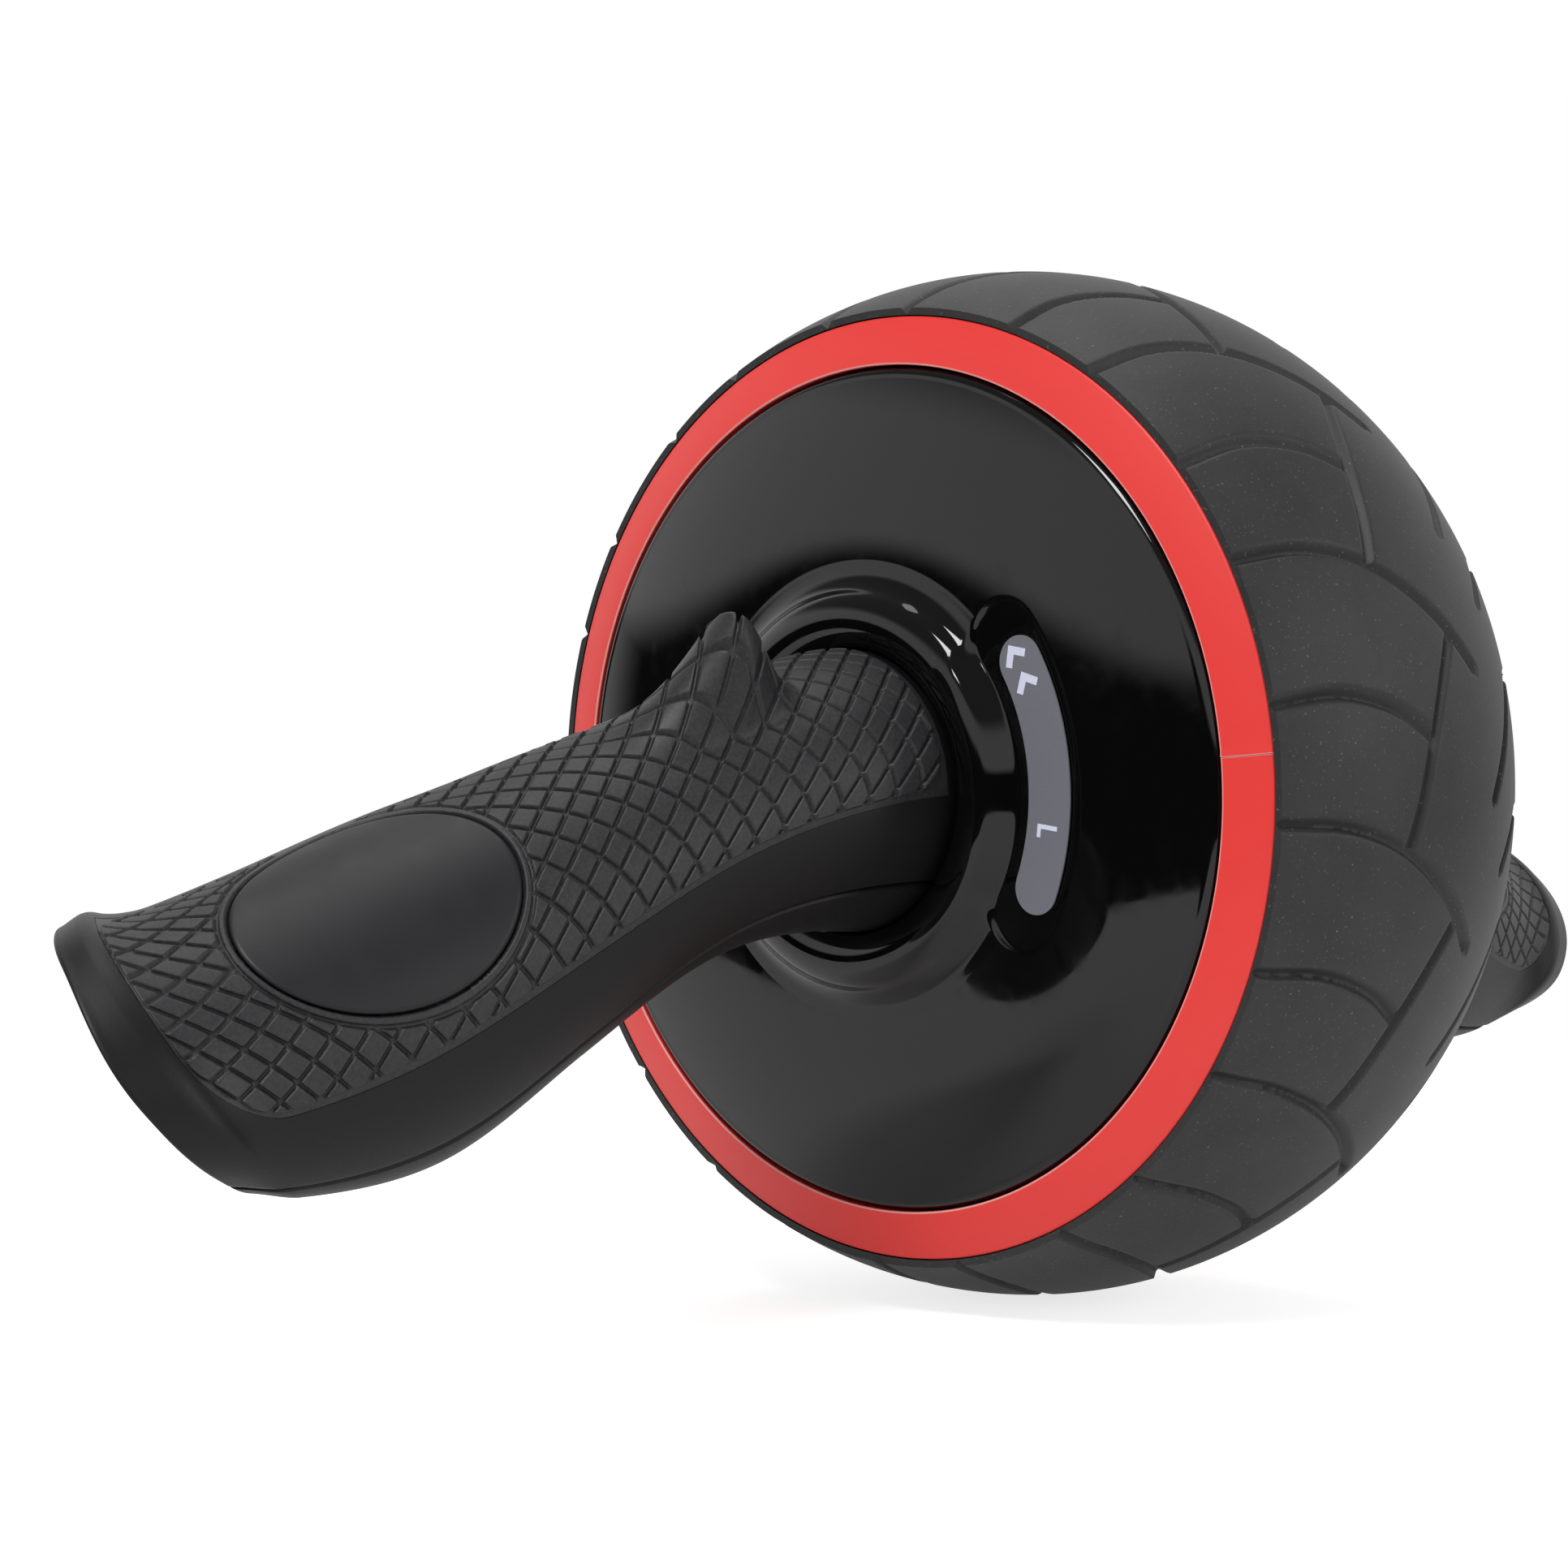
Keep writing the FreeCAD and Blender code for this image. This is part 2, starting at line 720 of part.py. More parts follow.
def make_handle():
    """The two shells of a handle with their screws, and the rubber grip with its palm pad."""
    upper = make_half(-90, 90, 0.0)
    lower = make_half(90, 270, -parting_gap)
    recess_stations = even_stations(2 * handle_stations()[0], grip_end + grip_start)
    recess_angle = grip_half_angle + math.degrees(glue_gap / neck_radius)
    recess = make_skin(recess_stations, -grip_thickness, grip_thickness + glue_gap, recess_angle, False)
    cavity = make_cavity()
    socket_radius = axle_radius + socket_wall
    bore = rod(socket_radius, ORIGIN, AXLE * socket_end)
    hole_top = Vector(0, lock_screw_y, -axle_radius)
    lock_hole = rod(lock_screw_head + screw_clearance, hole_top - Vector(0, 0, 2 * neck_radius), hole_top)
    bosses = []
    screws = []
    pilot_holes = [bore]
    clear_holes = [bore, lock_hole]
    for centre, top, height in handle_screw_lines():
        seat = centre - top * (height - 3 * shell_wall)
        tip = centre + top * (height - grip_thickness - 2 * shell_wall)
        reach = top * (height - shell_wall)
        length = (tip - seat).Length
        bosses.append(rod(handle_boss_radius, centre - reach, centre + reach))
        screws.append(make_screw(screw_radius, screw_head_radius, screw_head_height, seat, top, length))
        pilot_holes.append(rod(screw_radius, seat, tip))
        clear_holes.append(rod(screw_radius + screw_clearance, seat - top, tip))
        clear_holes.append(rod(screw_head_radius + screw_clearance, centre - top * 2 * height, seat))
    upper_bosses = [boss.common(upper).cut(recess) for boss in bosses]
    lower_bosses = [boss.common(lower) for boss in bosses]
    upper_shell = upper.cut(cavity).cut(recess).fuse(upper_bosses).cut(pilot_holes)
    lower_shell = lower.cut(cavity).fuse(lower_bosses).cut(clear_holes)
    both_sides("handle_upper", upper_shell)
    both_sides("handle_lower", lower_shell)
    both_sides("handle_screws", Part.makeCompound(screws))
    grip = make_skin(grip_stations(grip_start, grip_end), 0.0, grip_thickness, grip_half_angle, True)
    both_sides("grip", grip.cut([pad_outline(pad_gap)] + make_checker_tools()))
    both_sides("palm_pad", grip.common(pad_outline(0.0)))


def make_socket():
    sleeve = tube(axle_radius, axle_radius + socket_wall, socket_start, socket_end)
    hole_top = Vector(0, lock_screw_y, 0)
    return sleeve.cut(rod(lock_screw_radius, hole_top - Vector(0, 0, 2 * axle_radius), hole_top))


def make_lock_screw():
    seat = Vector(0, lock_screw_y, -(axle_radius + socket_wall))
    return make_screw(lock_screw_radius, lock_screw_head, lock_screw_recess, seat, Vector(0, 0, 1),
                      axle_radius + socket_wall)


os.makedirs("parts", exist_ok=True)
save("tyre", make_tyre())
both_sides("trim_ring", make_trim_ring())
save("rim_left", make_rim(False))
save("rim_right", mirrored(make_rim(True)))
save("rim_screws", make_rim_screws())
both_sides("hub_cover", make_hub_cover())
both_sides("label", make_label())
both_sides("bush", make_bush())
save("spring_cup", make_spring_cup())
save("spring_lid", make_spring_lid())
save("power_spring", make_power_spring())
save("cup_screws", make_cup_screws())
save("lid_screws", make_lid_screws())
save("axle", make_axle())
save("spring_arbor", make_arbor())
save("arbor_pin", arbor_pin_hole())
both_sides("thrust_washer", make_washer())
both_sides("circlip", make_circlip())
make_handle()
both_sides("socket", make_socket())
both_sides("lock_screw", make_lock_screw())
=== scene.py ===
import math

import bmesh
import bpy
import numpy as np
from mathutils import Matrix, Vector


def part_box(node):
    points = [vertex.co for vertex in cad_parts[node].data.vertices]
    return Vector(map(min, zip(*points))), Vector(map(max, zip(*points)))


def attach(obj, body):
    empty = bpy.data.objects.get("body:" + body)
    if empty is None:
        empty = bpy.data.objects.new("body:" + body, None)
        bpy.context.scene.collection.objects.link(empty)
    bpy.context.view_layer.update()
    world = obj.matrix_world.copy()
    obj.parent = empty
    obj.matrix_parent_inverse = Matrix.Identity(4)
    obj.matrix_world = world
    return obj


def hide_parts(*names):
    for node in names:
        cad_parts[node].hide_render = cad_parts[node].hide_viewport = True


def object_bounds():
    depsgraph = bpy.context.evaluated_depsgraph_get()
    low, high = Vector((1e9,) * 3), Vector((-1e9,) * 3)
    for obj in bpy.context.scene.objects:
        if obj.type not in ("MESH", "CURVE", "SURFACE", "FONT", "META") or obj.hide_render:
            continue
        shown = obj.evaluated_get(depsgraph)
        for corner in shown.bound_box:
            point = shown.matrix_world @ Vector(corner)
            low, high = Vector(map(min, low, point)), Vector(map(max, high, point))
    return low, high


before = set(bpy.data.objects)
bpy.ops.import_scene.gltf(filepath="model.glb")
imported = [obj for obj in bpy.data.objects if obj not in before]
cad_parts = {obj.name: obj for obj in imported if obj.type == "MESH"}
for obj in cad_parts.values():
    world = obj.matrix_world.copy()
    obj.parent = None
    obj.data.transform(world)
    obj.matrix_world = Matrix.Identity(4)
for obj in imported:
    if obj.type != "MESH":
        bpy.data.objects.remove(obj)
cad_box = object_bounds()


# Axle, spring arbor, thrust washers and handle sockets: bright mild steel bar and tube, turned on a
# lathe. They run through the hub and into the handles, so little of them can be seen.
MM = 0.001  # metres in a millimetre; lengths are in mm and angles in degrees unless it is said otherwise
lathe_feed = 0.25  # spacing of the tool marks


def linear(colour):
    """Linear red, green, blue and alpha of an sRGB hex colour."""
    shares = [int(colour[place:place + 2], 16) / 255 for place in (1, 3, 5)]
    return [s / 12.92 if s <= 0.04045 else ((s + 0.055) / 1.055) ** 2.4 for s in shares] + [1.0]


def add(tree, kind, sockets={}, links={}, **settings):
    """Adds a node to a material, with its settings, its sockets' values and the outputs linked to them."""
    node = tree.nodes.new(kind)
    for name, value in settings.items():
        setattr(node, name, value)
    for name, value in sockets.items():
        node.inputs[name].default_value = value
    for name, output in links.items():
        tree.links.new(output, node.inputs[name])
    return node


def new_material(name, colour, roughness, sockets={}):
    """A material, its node tree, its shader and the piece's own coordinates, in metres."""
    material = bpy.data.materials.new(name)
    material.use_nodes = True
    tree = material.node_tree
    shader = tree.nodes["Principled BSDF"]
    for socket, value in {"Base Color": linear(colour), "Roughness": roughness, **sockets}.items():
        shader.inputs[socket].default_value = value
    return material, tree, shader, add(tree, "ShaderNodeTexCoord").outputs["Object"]


def wire(tree, shader, outputs):
    """Links outputs to a shader's sockets."""
    for socket, output in outputs.items():
        tree.links.new(output, shader.inputs[socket])


def bumps(tree, pattern, strength, depth):
    """The tilt that fine bumps of a depth give to a surface."""
    return add(tree, "ShaderNodeBump", {"Strength": strength, "Distance": depth * MM},
               {"Height": pattern}).outputs["Normal"]


def dress(material, *nodes):
    """Gives solids of the frame a material."""
    for node in nodes:
        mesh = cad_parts[node].data
        mesh.materials.clear()
        mesh.materials.append(material)


# Turned mild steel: bright grey metal with fine rings left by the tool, which draw out the highlights.
turned_steel, tree, shader, place = new_material("turned_mild_steel", "#B4B6B9", 0.3, {"Metallic": 1.0})
# At a scale of 1 a wave texture has 20 bands in 2 pi metres
rings = add(tree, "ShaderNodeTexWave", {"Scale": 2 * math.pi / (20 * lathe_feed * MM), "Distortion": 0.6},
            {"Vector": place}, bands_direction="Y")
wire(tree, shader, {"Normal": bumps(tree, rings.outputs["Fac"], 0.3, 0.02)})
dress(turned_steel, "axle", "spring_arbor", "thrust_washer_left", "thrust_washer_right", "socket_left", "socket_right")


# Return spring and circlips: rolled spring steel strip, hardened and blued by heat.
# The spring is coiled in its cup round the arbor; a circlip snaps into the axle at each end of the hub.
temper_patch = 6.0  # size of the patches of temper colour


def noise(tree, place, size, detail):
    """A mottled pattern with patches of a size."""
    return add(tree, "ShaderNodeTexNoise", {"Scale": 1 / (size * MM), "Detail": detail},
               {"Vector": place}).outputs["Fac"]


def tones(tree, pattern, dark, pale, low=0.0, high=1.0):
    """Colours between two hex ones, over a part of a pattern's range."""
    ramp = add(tree, "ShaderNodeValToRGB", {}, {"Fac": pattern})
    for element, position, colour in zip(ramp.color_ramp.elements, (low, high), (dark, pale)):
        element.position, element.color = position, linear(colour)
    return ramp.outputs["Color"]


# Blued spring steel: a dark oxide skin that drifts from blue to straw brown where the heat was uneven.
blued_steel, tree, shader, place = new_material("blued_spring_steel", "#4B5566", 0.36, {"Metallic": 1.0})
patches = noise(tree, place, temper_patch, 3.0)
wire(tree, shader, {"Base Color": tones(tree, patches, "#3F4B60", "#6A6054", 0.35, 0.7)})
dress(blued_steel, "power_spring", "circlip_left", "circlip_right")


# Screws and arbor pin: cold-headed steel, plated with zinc.
# They hold the rims, spring cup, lid and handle shells together and lock the handles to the axle.
zinc_spangle = 0.8  # size of the plating's mottles


def spread(tree, pattern, low, high, from_low=0.0, from_high=1.0):
    """Values between two limits, over a part of a pattern's range."""
    return add(tree, "ShaderNodeMapRange", {"From Min": from_low, "From Max": from_high, "To Min": low, "To Max": high},
               {"Value": pattern}).outputs["Result"]


# Zinc plate: pale bluish metal, slightly cloudy, so its shine varies from spot to spot.
zinc_plate, tree, shader, place = new_material("zinc_plated_steel", "#B9BDC3", 0.3, {"Metallic": 1.0})
cloud = noise(tree, place, zinc_spangle, 2.0)
wire(tree, shader, {"Roughness": spread(tree, cloud, 0.22, 0.42)})
dress(zinc_plate, "rim_screws", "cup_screws", "lid_screws", "arbor_pin", "lock_screw_left", "lock_screw_right",
      "handle_screws_left", "handle_screws_right")


# Bushes: acetal sleeves, injection moulded and pressed into the rims.
# The axle turns in them with a running clearance.
acetal_flow = 3.0  # spacing of the faint flow marks

# Moulded acetal: milky off-white and waxy, with faint flow marks and a soft shine.
acetal, tree, shader, place = new_material("moulded_acetal", "#E6E2D6", 0.42)
flow = noise(tree, place, acetal_flow, 2.0)
wire(tree, shader, {"Base Color": tones(tree, flow, "#DDD8CA", "#ECE9DF")})
dress(acetal, "bush_left", "bush_right")


# Rims, spring cup and lid: black glass-filled nylon, injection moulded.
# The rims are screwed together inside the tyre, and the cup and its lid hold the return spring.
nylon_grain = 0.6  # spacing of the glass fibres' marks

# Glass-filled nylon: black with a dull, slightly streaky surface where fibres lie at the skin.
nylon, tree, shader, place = new_material("moulded_glass_filled_nylon", "#1B1B1C", 0.55)
fibres = noise(tree, place, nylon_grain, 4.0)
wire(tree, shader, {"Roughness": spread(tree, fibres, 0.45, 0.7), "Normal": bumps(tree, fibres, 0.25, 0.05)})
dress(nylon, "rim_left", "rim_right", "spring_cup", "spring_lid")


# Tyre: one crowned band of charcoal rubber, moulded round the rims, with curved grooves in its tread.
# The left side has long grooves that hook over the crown, short ones between them and slanted ones that join
# them; the right side has plain slanted ones.
tyre_half_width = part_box("tyre")[1].y / MM
tyre_radius = 95.0
crown_fall = 8.7  # drop from the crown to the shoulder
tread_repeats = 12
tread_pitch = 360 / tread_repeats
tread_start = 4.1  # angle of a long groove at the shoulder, from +X towards +Z
groove_depth = 1.5
line_steps = 8  # straight steps for each point of a groove's line
columns_per_pitch = 124
crown_rows = 190
lip_gap = 0.2  # between the tyre's lip and the trim ring
# Each groove has the widths of its upper and lower flanks, and a line through points given by
# share of the tyre's half width and degrees round it
tread_grooves = (
    (2.4, 1.1, ((0.985, 0.0), (0.63, 0.4), (0.27, 3.0), (-0.09, 8.0), (-0.39, 14.0))),
    (2.4, 1.1, ((0.985, 16.9), (0.66, 16.4), (0.34, 18.2), (0.09, 21.3))),
    (1.4, 1.8, ((-0.21, 10.4), (-0.06, 15.6), (0.075, 21.6), (0.18, 28.0), (0.25, 32.0))),
    (1.1, 2.2, ((-0.985, -16.0), (-0.75, -8.0), (-0.55, -2.0))),
    (1.1, 2.2, ((-0.985, 0.0), (-0.75, 6.0))),
)


def smooth(values, steps):
    """Values at steps along a smooth curve through evenly spaced ones."""
    values = np.array(values, float)
    slopes = np.gradient(values, axis=0)
    left = np.clip(np.asarray(steps).astype(int), 0, len(values) - 2)
    part = (np.asarray(steps) - left).reshape(np.shape(steps) + (1,) * (values.ndim - 1))
    keep = (1 + 2 * part) * (1 - part) ** 2
    return (keep * values[left] + (1 - keep) * values[left + 1]
            + part * (1 - part) ** 2 * slopes[left] - part ** 2 * (1 - part) * slopes[left + 1])


def ease(share):
    """A soft step from 0 to 1."""
    share = np.clip(share, 0, 1)
    return share * share * (3 - 2 * share)


def bowed(start, end, rise, count):
    """Points of a profile from start to end, bowed outward along the axle by a rise."""
    start, end = np.array(start, float), np.array(end, float)
    across = np.array([start[1] - end[1], end[0] - start[0]]) / np.linalg.norm(end - start)
    across = across if across[1] > 0 else -across
    share = np.linspace(0, 1, count)[:, None]
    return start + (end - start) * share + across * (4 * rise) * share * (1 - share)


def spun(profile, angles):
    """Grid of points of a profile of radius and place along the axle, turned to angles in degrees."""
    turn = np.radians(angles)
    radius, along = np.asarray(profile)[..., 0], np.asarray(profile)[..., 1]
    radius, along = (part[:, None] * np.ones(len(turn)) for part in (radius, along))
    return np.stack([radius * np.cos(turn), along, radius * np.sin(turn)], axis=-1)


def skin(name, points, close_rows=False, close_columns=False, caps=False, crease=None):
    """A mesh piece over a grid of points in millimetres, smooth but for edges sharper than the crease."""
    rows, columns = points.shape[:2]
    corners = points.reshape(-1, 3)
    number = np.arange(rows * columns).reshape(rows, columns)
    number = np.vstack([number, number[:1]]) if close_rows else number
    number = np.hstack([number, number[:, :1]]) if close_columns else number
    quads = np.stack([number[:-1, :-1], number[:-1, 1:], number[1:, 1:], number[1:, :-1]], axis=-1).reshape(-1, 4)
    a, b, c, d = (corners[quads[:, corner]] - corners.mean(axis=0) for corner in range(4))
    inside_out = np.sum(a * (np.cross(b, c) + np.cross(c, d))) < 0
    faces = quads.tolist()
    if caps:
        faces += [list(range(columns))[::-1], list(range((rows - 1) * columns, rows * columns))]
    mesh = bpy.data.meshes.new(name)
    mesh.from_pydata((corners * MM).tolist(), [], faces)
    if inside_out:
        mesh.flip_normals()
    mesh.shade_smooth()
    if crease:
        mesh.set_sharp_from_angle(angle=math.radians(crease))
    piece = bpy.data.objects.new(name, mesh)
    bpy.context.scene.collection.objects.link(piece)
    return piece


def fit(piece, body, node, material):
    """Puts a piece on its body, in place of a solid, with its material."""
    piece.data.materials.append(material)
    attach(piece, body)
    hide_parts(node)


def groove_cut(upper, lower, line, across, turn):
    """Depth of one groove, in mm, over a tread laid flat."""
    points = smooth(line, np.linspace(0, len(line) - 1, line_steps * len(line)))
    points = points * [tyre_half_width, math.radians(tyre_radius)]
    nearest = np.full(across.shape, np.inf)
    above = np.zeros(across.shape, bool)
    for start, end in zip(points[:-1], points[1:]):
        run = end - start
        share = np.clip(((across - start[0]) * run[0] + (turn - start[1]) * run[1]) / (run @ run), 0, 1)
        off_across, off_turn = across - start[0] - run[0] * share, turn - start[1] - run[1] * share
        distance = np.hypot(off_across, off_turn)
        above = np.where(distance < nearest, run[0] * off_turn - run[1] * off_across > 0, above)
        nearest = np.minimum(nearest, distance)
    return groove_depth * (1 - ease(nearest / np.where(above, upper, lower)))


crown_bow = (tyre_half_width ** 2 + crown_fall ** 2) / (2 * crown_fall)
across_rows = np.linspace(-tyre_half_width, tyre_half_width, crown_rows)
crown_radius = tyre_radius - crown_bow + np.sqrt(crown_bow ** 2 - across_rows ** 2)
pitch_turn = np.arange(columns_per_pitch) * tread_pitch / columns_per_pitch
cut = np.zeros((crown_rows, columns_per_pitch))
for upper, lower, line in tread_grooves:
    for pitch in (-1, 0, 1):
        flat_turn = (pitch_turn - pitch * tread_pitch) * math.radians(tyre_radius)
        across, turn = np.meshgrid(across_rows, flat_turn, indexing="ij")
        cut = np.maximum(cut, groove_cut(upper, lower, line, across, turn))
tread_turn = tread_start + np.arange(tread_repeats * columns_per_pitch) * tread_pitch / columns_per_pitch
ring_low, ring_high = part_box("trim_ring_left")
ring_seat = ring_low.y / MM
ring_outer = ring_high.z / MM
tyre_lip = ring_outer + lip_gap
rim_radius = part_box("rim_left")[1].z / MM
side_wall = np.array([(tyre_lip, tyre_half_width), (tyre_lip, ring_seat), (rim_radius, ring_seat)])
tread_grid = spun(np.stack([crown_radius, across_rows], axis=-1), tread_turn)
bed = 1 - np.tile(cut, (1, tread_repeats)) / crown_radius[:, None]
tread_grid[..., 0] *= bed
tread_grid[..., 2] *= bed
left_wall = spun(side_wall, tread_turn)
right_wall = spun(side_wall[::-1] * [1, -1], tread_turn)
tyre = skin("tyre_tread", np.concatenate([tread_grid, left_wall, right_wall]), True, True, crease=55)

# Moulded rubber: charcoal and matt, with a fine bloom of pale specks and a faint unevenness from the mould.
rubber_speck = 0.5  # size of a speck
rubber_cloud = 9.0  # size of the paler patches
tyre_rubber, tree, shader, place = new_material("moulded_tyre_rubber", "#232323", 0.56, {"Specular IOR Level": 0.45})
specks = noise(tree, place, rubber_speck, 2.0)
clouds = noise(tree, place, rubber_cloud, 4.0)
bloom = spread(tree, specks, 0.0, 1.0, 0.66, 0.8)
dust = add(tree, "ShaderNodeMix", {"B": linear("#6A6B6A")},
           {"Factor": bloom, "A": tones(tree, clouds, "#202020", "#272727", 0.3, 0.7)}, data_type="RGBA")
wire(tree, shader, {"Base Color": dust.outputs["Result"], "Normal": bumps(tree, specks, 0.35, 0.08)})
fit(tyre, "wheel", "tyre", tyre_rubber)


# Trim rings: red ABS hoops, moulded flat, sprung into the step between tyre and hub cover, with a butt seam.
# The outer edge lies level with the tyre's lip and the ring rises a little towards the hub.
ring_inner = 76.0
ring_outer_edge = tyre_half_width
ring_inner_edge = ring_high.y / MM
ring_seam = 176.0  # angle of the seam
ring_seam_gap = 0.1
ring_seam_step = 0.1
ring_edge_angle = 0.1  # width of the strip at the seam that carries the painted highlight
ring_edge_round = 0.45
ring_corner_points = 5
ring_columns = 480
inner_edge_highlight, seam_highlight = 0.6, 0.8  # how strongly the painted highlight shows on the inner edge and at the seam

# Satin red ABS: strong red with an even, fine-grained satin skin. A painted highlight tints its inner edge and the seam
# pale pink.
ring_grain = 0.35
ring_red = "#E4332E"
red_abs, tree, shader, place = new_material("satin_red_abs", ring_red, 0.45)
grain = noise(tree, place, ring_grain, 2.0)
# Painted highlight: the mesh marks the rounded inner edge and the seam, and there the red is mixed towards pale pink.
painted_edge_highlight = add(tree, "ShaderNodeAttribute", attribute_name="painted_edge_highlight")
highlight_tint = add(tree, "ShaderNodeMix", {"A": linear(ring_red), "B": linear("#F2C4BE")},
               {"Factor": painted_edge_highlight.outputs["Fac"]}, data_type="RGBA")
wire(tree, shader, {"Base Color": highlight_tint.outputs["Result"], "Roughness": spread(tree, grain, 0.36, 0.5),
                    "Normal": bumps(tree, grain, 0.15, 0.03)})


def rounded(corners, radius, count):
    """Closed profile through corners with each one rounded off."""
    corners = np.array(corners, float)
    points = []
    for before, corner, after in zip(np.roll(corners, 1, axis=0), corners, np.roll(corners, -1, axis=0)):
        start = corner + (before - corner) / np.linalg.norm(before - corner) * radius
        end = corner + (after - corner) / np.linalg.norm(after - corner) * radius
        share = np.linspace(0, 1, count)[:, None]
        points.append(start * (1 - share) ** 2 + corner * 2 * share * (1 - share) + end * share ** 2)
    return np.concatenate(points)


ring_profile = rounded([(ring_inner, ring_seat), (ring_outer, ring_seat), (ring_outer, ring_outer_edge),
                        (ring_inner, ring_inner_edge)], ring_edge_round, ring_corner_points)
seam_half = math.degrees(ring_seam_gap / 2 / ring_outer)
ring_from, ring_to = ring_seam + seam_half, ring_seam + 360 - seam_half
ring_turn = np.linspace(ring_from + ring_edge_angle, ring_to - ring_edge_angle, ring_columns)
ring_turn = np.concatenate([[ring_from], ring_turn, [ring_to]])
# Shares of painted highlight, on the rounded inner edge and at the two ends of the seam.
painted_highlight_share = np.zeros((len(ring_turn), len(ring_profile)))
painted_highlight_share[:, 1 - ring_corner_points:-1] = inner_edge_highlight
painted_highlight_share[[0, -1]] = seam_highlight
for name, side in (("left", 1), ("right", -1)):
    ring_points = spun(ring_profile * [1, side], ring_turn).transpose(1, 0, 2)
    ring_points[-2:, :, 1] += side * ring_seam_step
    ring = skin("trim_ring_" + name + "_hoop", ring_points, close_columns=True, caps=True, crease=50)
    ring.data.attributes.new("painted_edge_highlight", "FLOAT", "POINT").data.foreach_set("value", painted_highlight_share.ravel())
    fit(ring, "wheel", "trim_ring_" + name, red_abs)


# Hub covers: gloss black ABS domes, moulded in a polished tool and pressed into the rims inside the rings.
# Each rises to a rounded lip round the handle's neck, with a flat pocket for the side label let into it.
cover_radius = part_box("hub_cover_left")[1].z / MM
cover_edge_place, cover_edge_round = 36.2, 1.8
# Corners of the outside, each by its radius and its place along the axle, and how far the lines between them bow
cover_shoulder = (cover_radius - cover_edge_round, cover_edge_place + cover_edge_round)
cover_face = (41.0, 43.4)
cover_lip = (34.5, 46.9)
cover_bore = (25.8, 46.9)
face_bow, sweep_hollow, lip_bow = 1.0, 1.0, 1.5
cover_inside = ((cover_bore[0], 42.15), (28.3, 42.15), (28.3, 45.2), (32.0, 45.2), (40.0, 40.9), (71.0, 35.4),
                (71.0, ring_seat))
label_low, label_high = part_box("label_left")[0].y / MM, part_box("label_left")[1].y / MM
label_angle = 176.1
seat_inner, seat_outer, seat_half_span = 36.6, 49.3, 33.1
seat_wall = 1.8  # rise of the pocket's wall for a millimetre outward
seat_foot, seat_round = 0.8, 1.2
bore_margin = 1.0  # strip at the bore that the pocket leaves alone
edge_points, face_points, lip_points = 9, 130, 100
cover_columns = 720


def from_slot(radius, angles, slot_radius, half_span):
    """Distance from the middle line of a slot that is bent round the axle."""
    turn = (angles - label_angle + 180) % 360 - 180
    end = np.clip(turn, -half_span, half_span)
    reach = radius * np.exp(1j * np.radians(turn)) - slot_radius * np.exp(1j * np.radians(end))
    return np.abs(reach)


quarter = np.radians(np.linspace(0, 90, edge_points))[:, None]
edge_round = np.hstack([cover_shoulder[0] + cover_edge_round * np.cos(quarter),
                        cover_edge_place + cover_edge_round * np.sin(quarter)])
lip_line = np.concatenate([bowed(cover_face, cover_lip, -sweep_hollow, 4),
                           bowed(cover_lip, cover_bore, lip_bow, 5)[1:]])
outside = np.concatenate([[(cover_radius, ring_seat)], edge_round,
                          bowed(cover_shoulder, cover_face, face_bow, face_points)[1:],
                          smooth(lip_line, np.linspace(0, len(lip_line) - 1, lip_points))[1:]])
inside = np.array(cover_inside)
cover_turn = np.arange(cover_columns) * 360 / cover_columns
seat_radius, seat_half_width = (seat_outer + seat_inner) / 2, (seat_outer - seat_inner) / 2
from_wall = from_slot(outside[:, :1], cover_turn[None, :], seat_radius, seat_half_span) - seat_half_width
up_wall = np.maximum(from_wall, 0)
foot_rise = np.where(up_wall < seat_foot, up_wall ** 2 / (2 * seat_foot), up_wall - seat_foot / 2)
pocket = label_low + seat_wall * foot_rise
dome = np.broadcast_to(outside[:, 1:], pocket.shape)
seated = np.minimum(dome, pocket) - np.maximum(seat_round - np.abs(dome - pocket), 0) ** 2 / (4 * seat_round)
on_face = (outside[:, :1] > cover_bore[0] + bore_margin) & (outside[:, :1] < cover_shoulder[0])
cover_height = np.where(on_face, seated, dome)
cover_points = np.concatenate([spun(outside, cover_turn), spun(inside, cover_turn)])
cover_points[:len(outside), :, 1] = cover_height

# Polished ABS: deep black with a mirror gloss, broken only by faint handling scuffs.
scuff_length = 4.0
black_abs, tree, shader, place = new_material("polished_black_abs", "#060607", 0.06, {"Specular IOR Level": 0.42})
scuffs = noise(tree, place, scuff_length, 6.0)
wire(tree, shader, {"Roughness": spread(tree, scuffs, 0.04, 0.12, 0.4, 0.75)})
for name, side in (("left", 1), ("right", -1)):
    cover = skin("hub_cover_" + name + "_dome", cover_points * [1, side, 1], True, True, crease=60)
    fit(cover, "wheel", "hub_cover_" + name, black_abs)


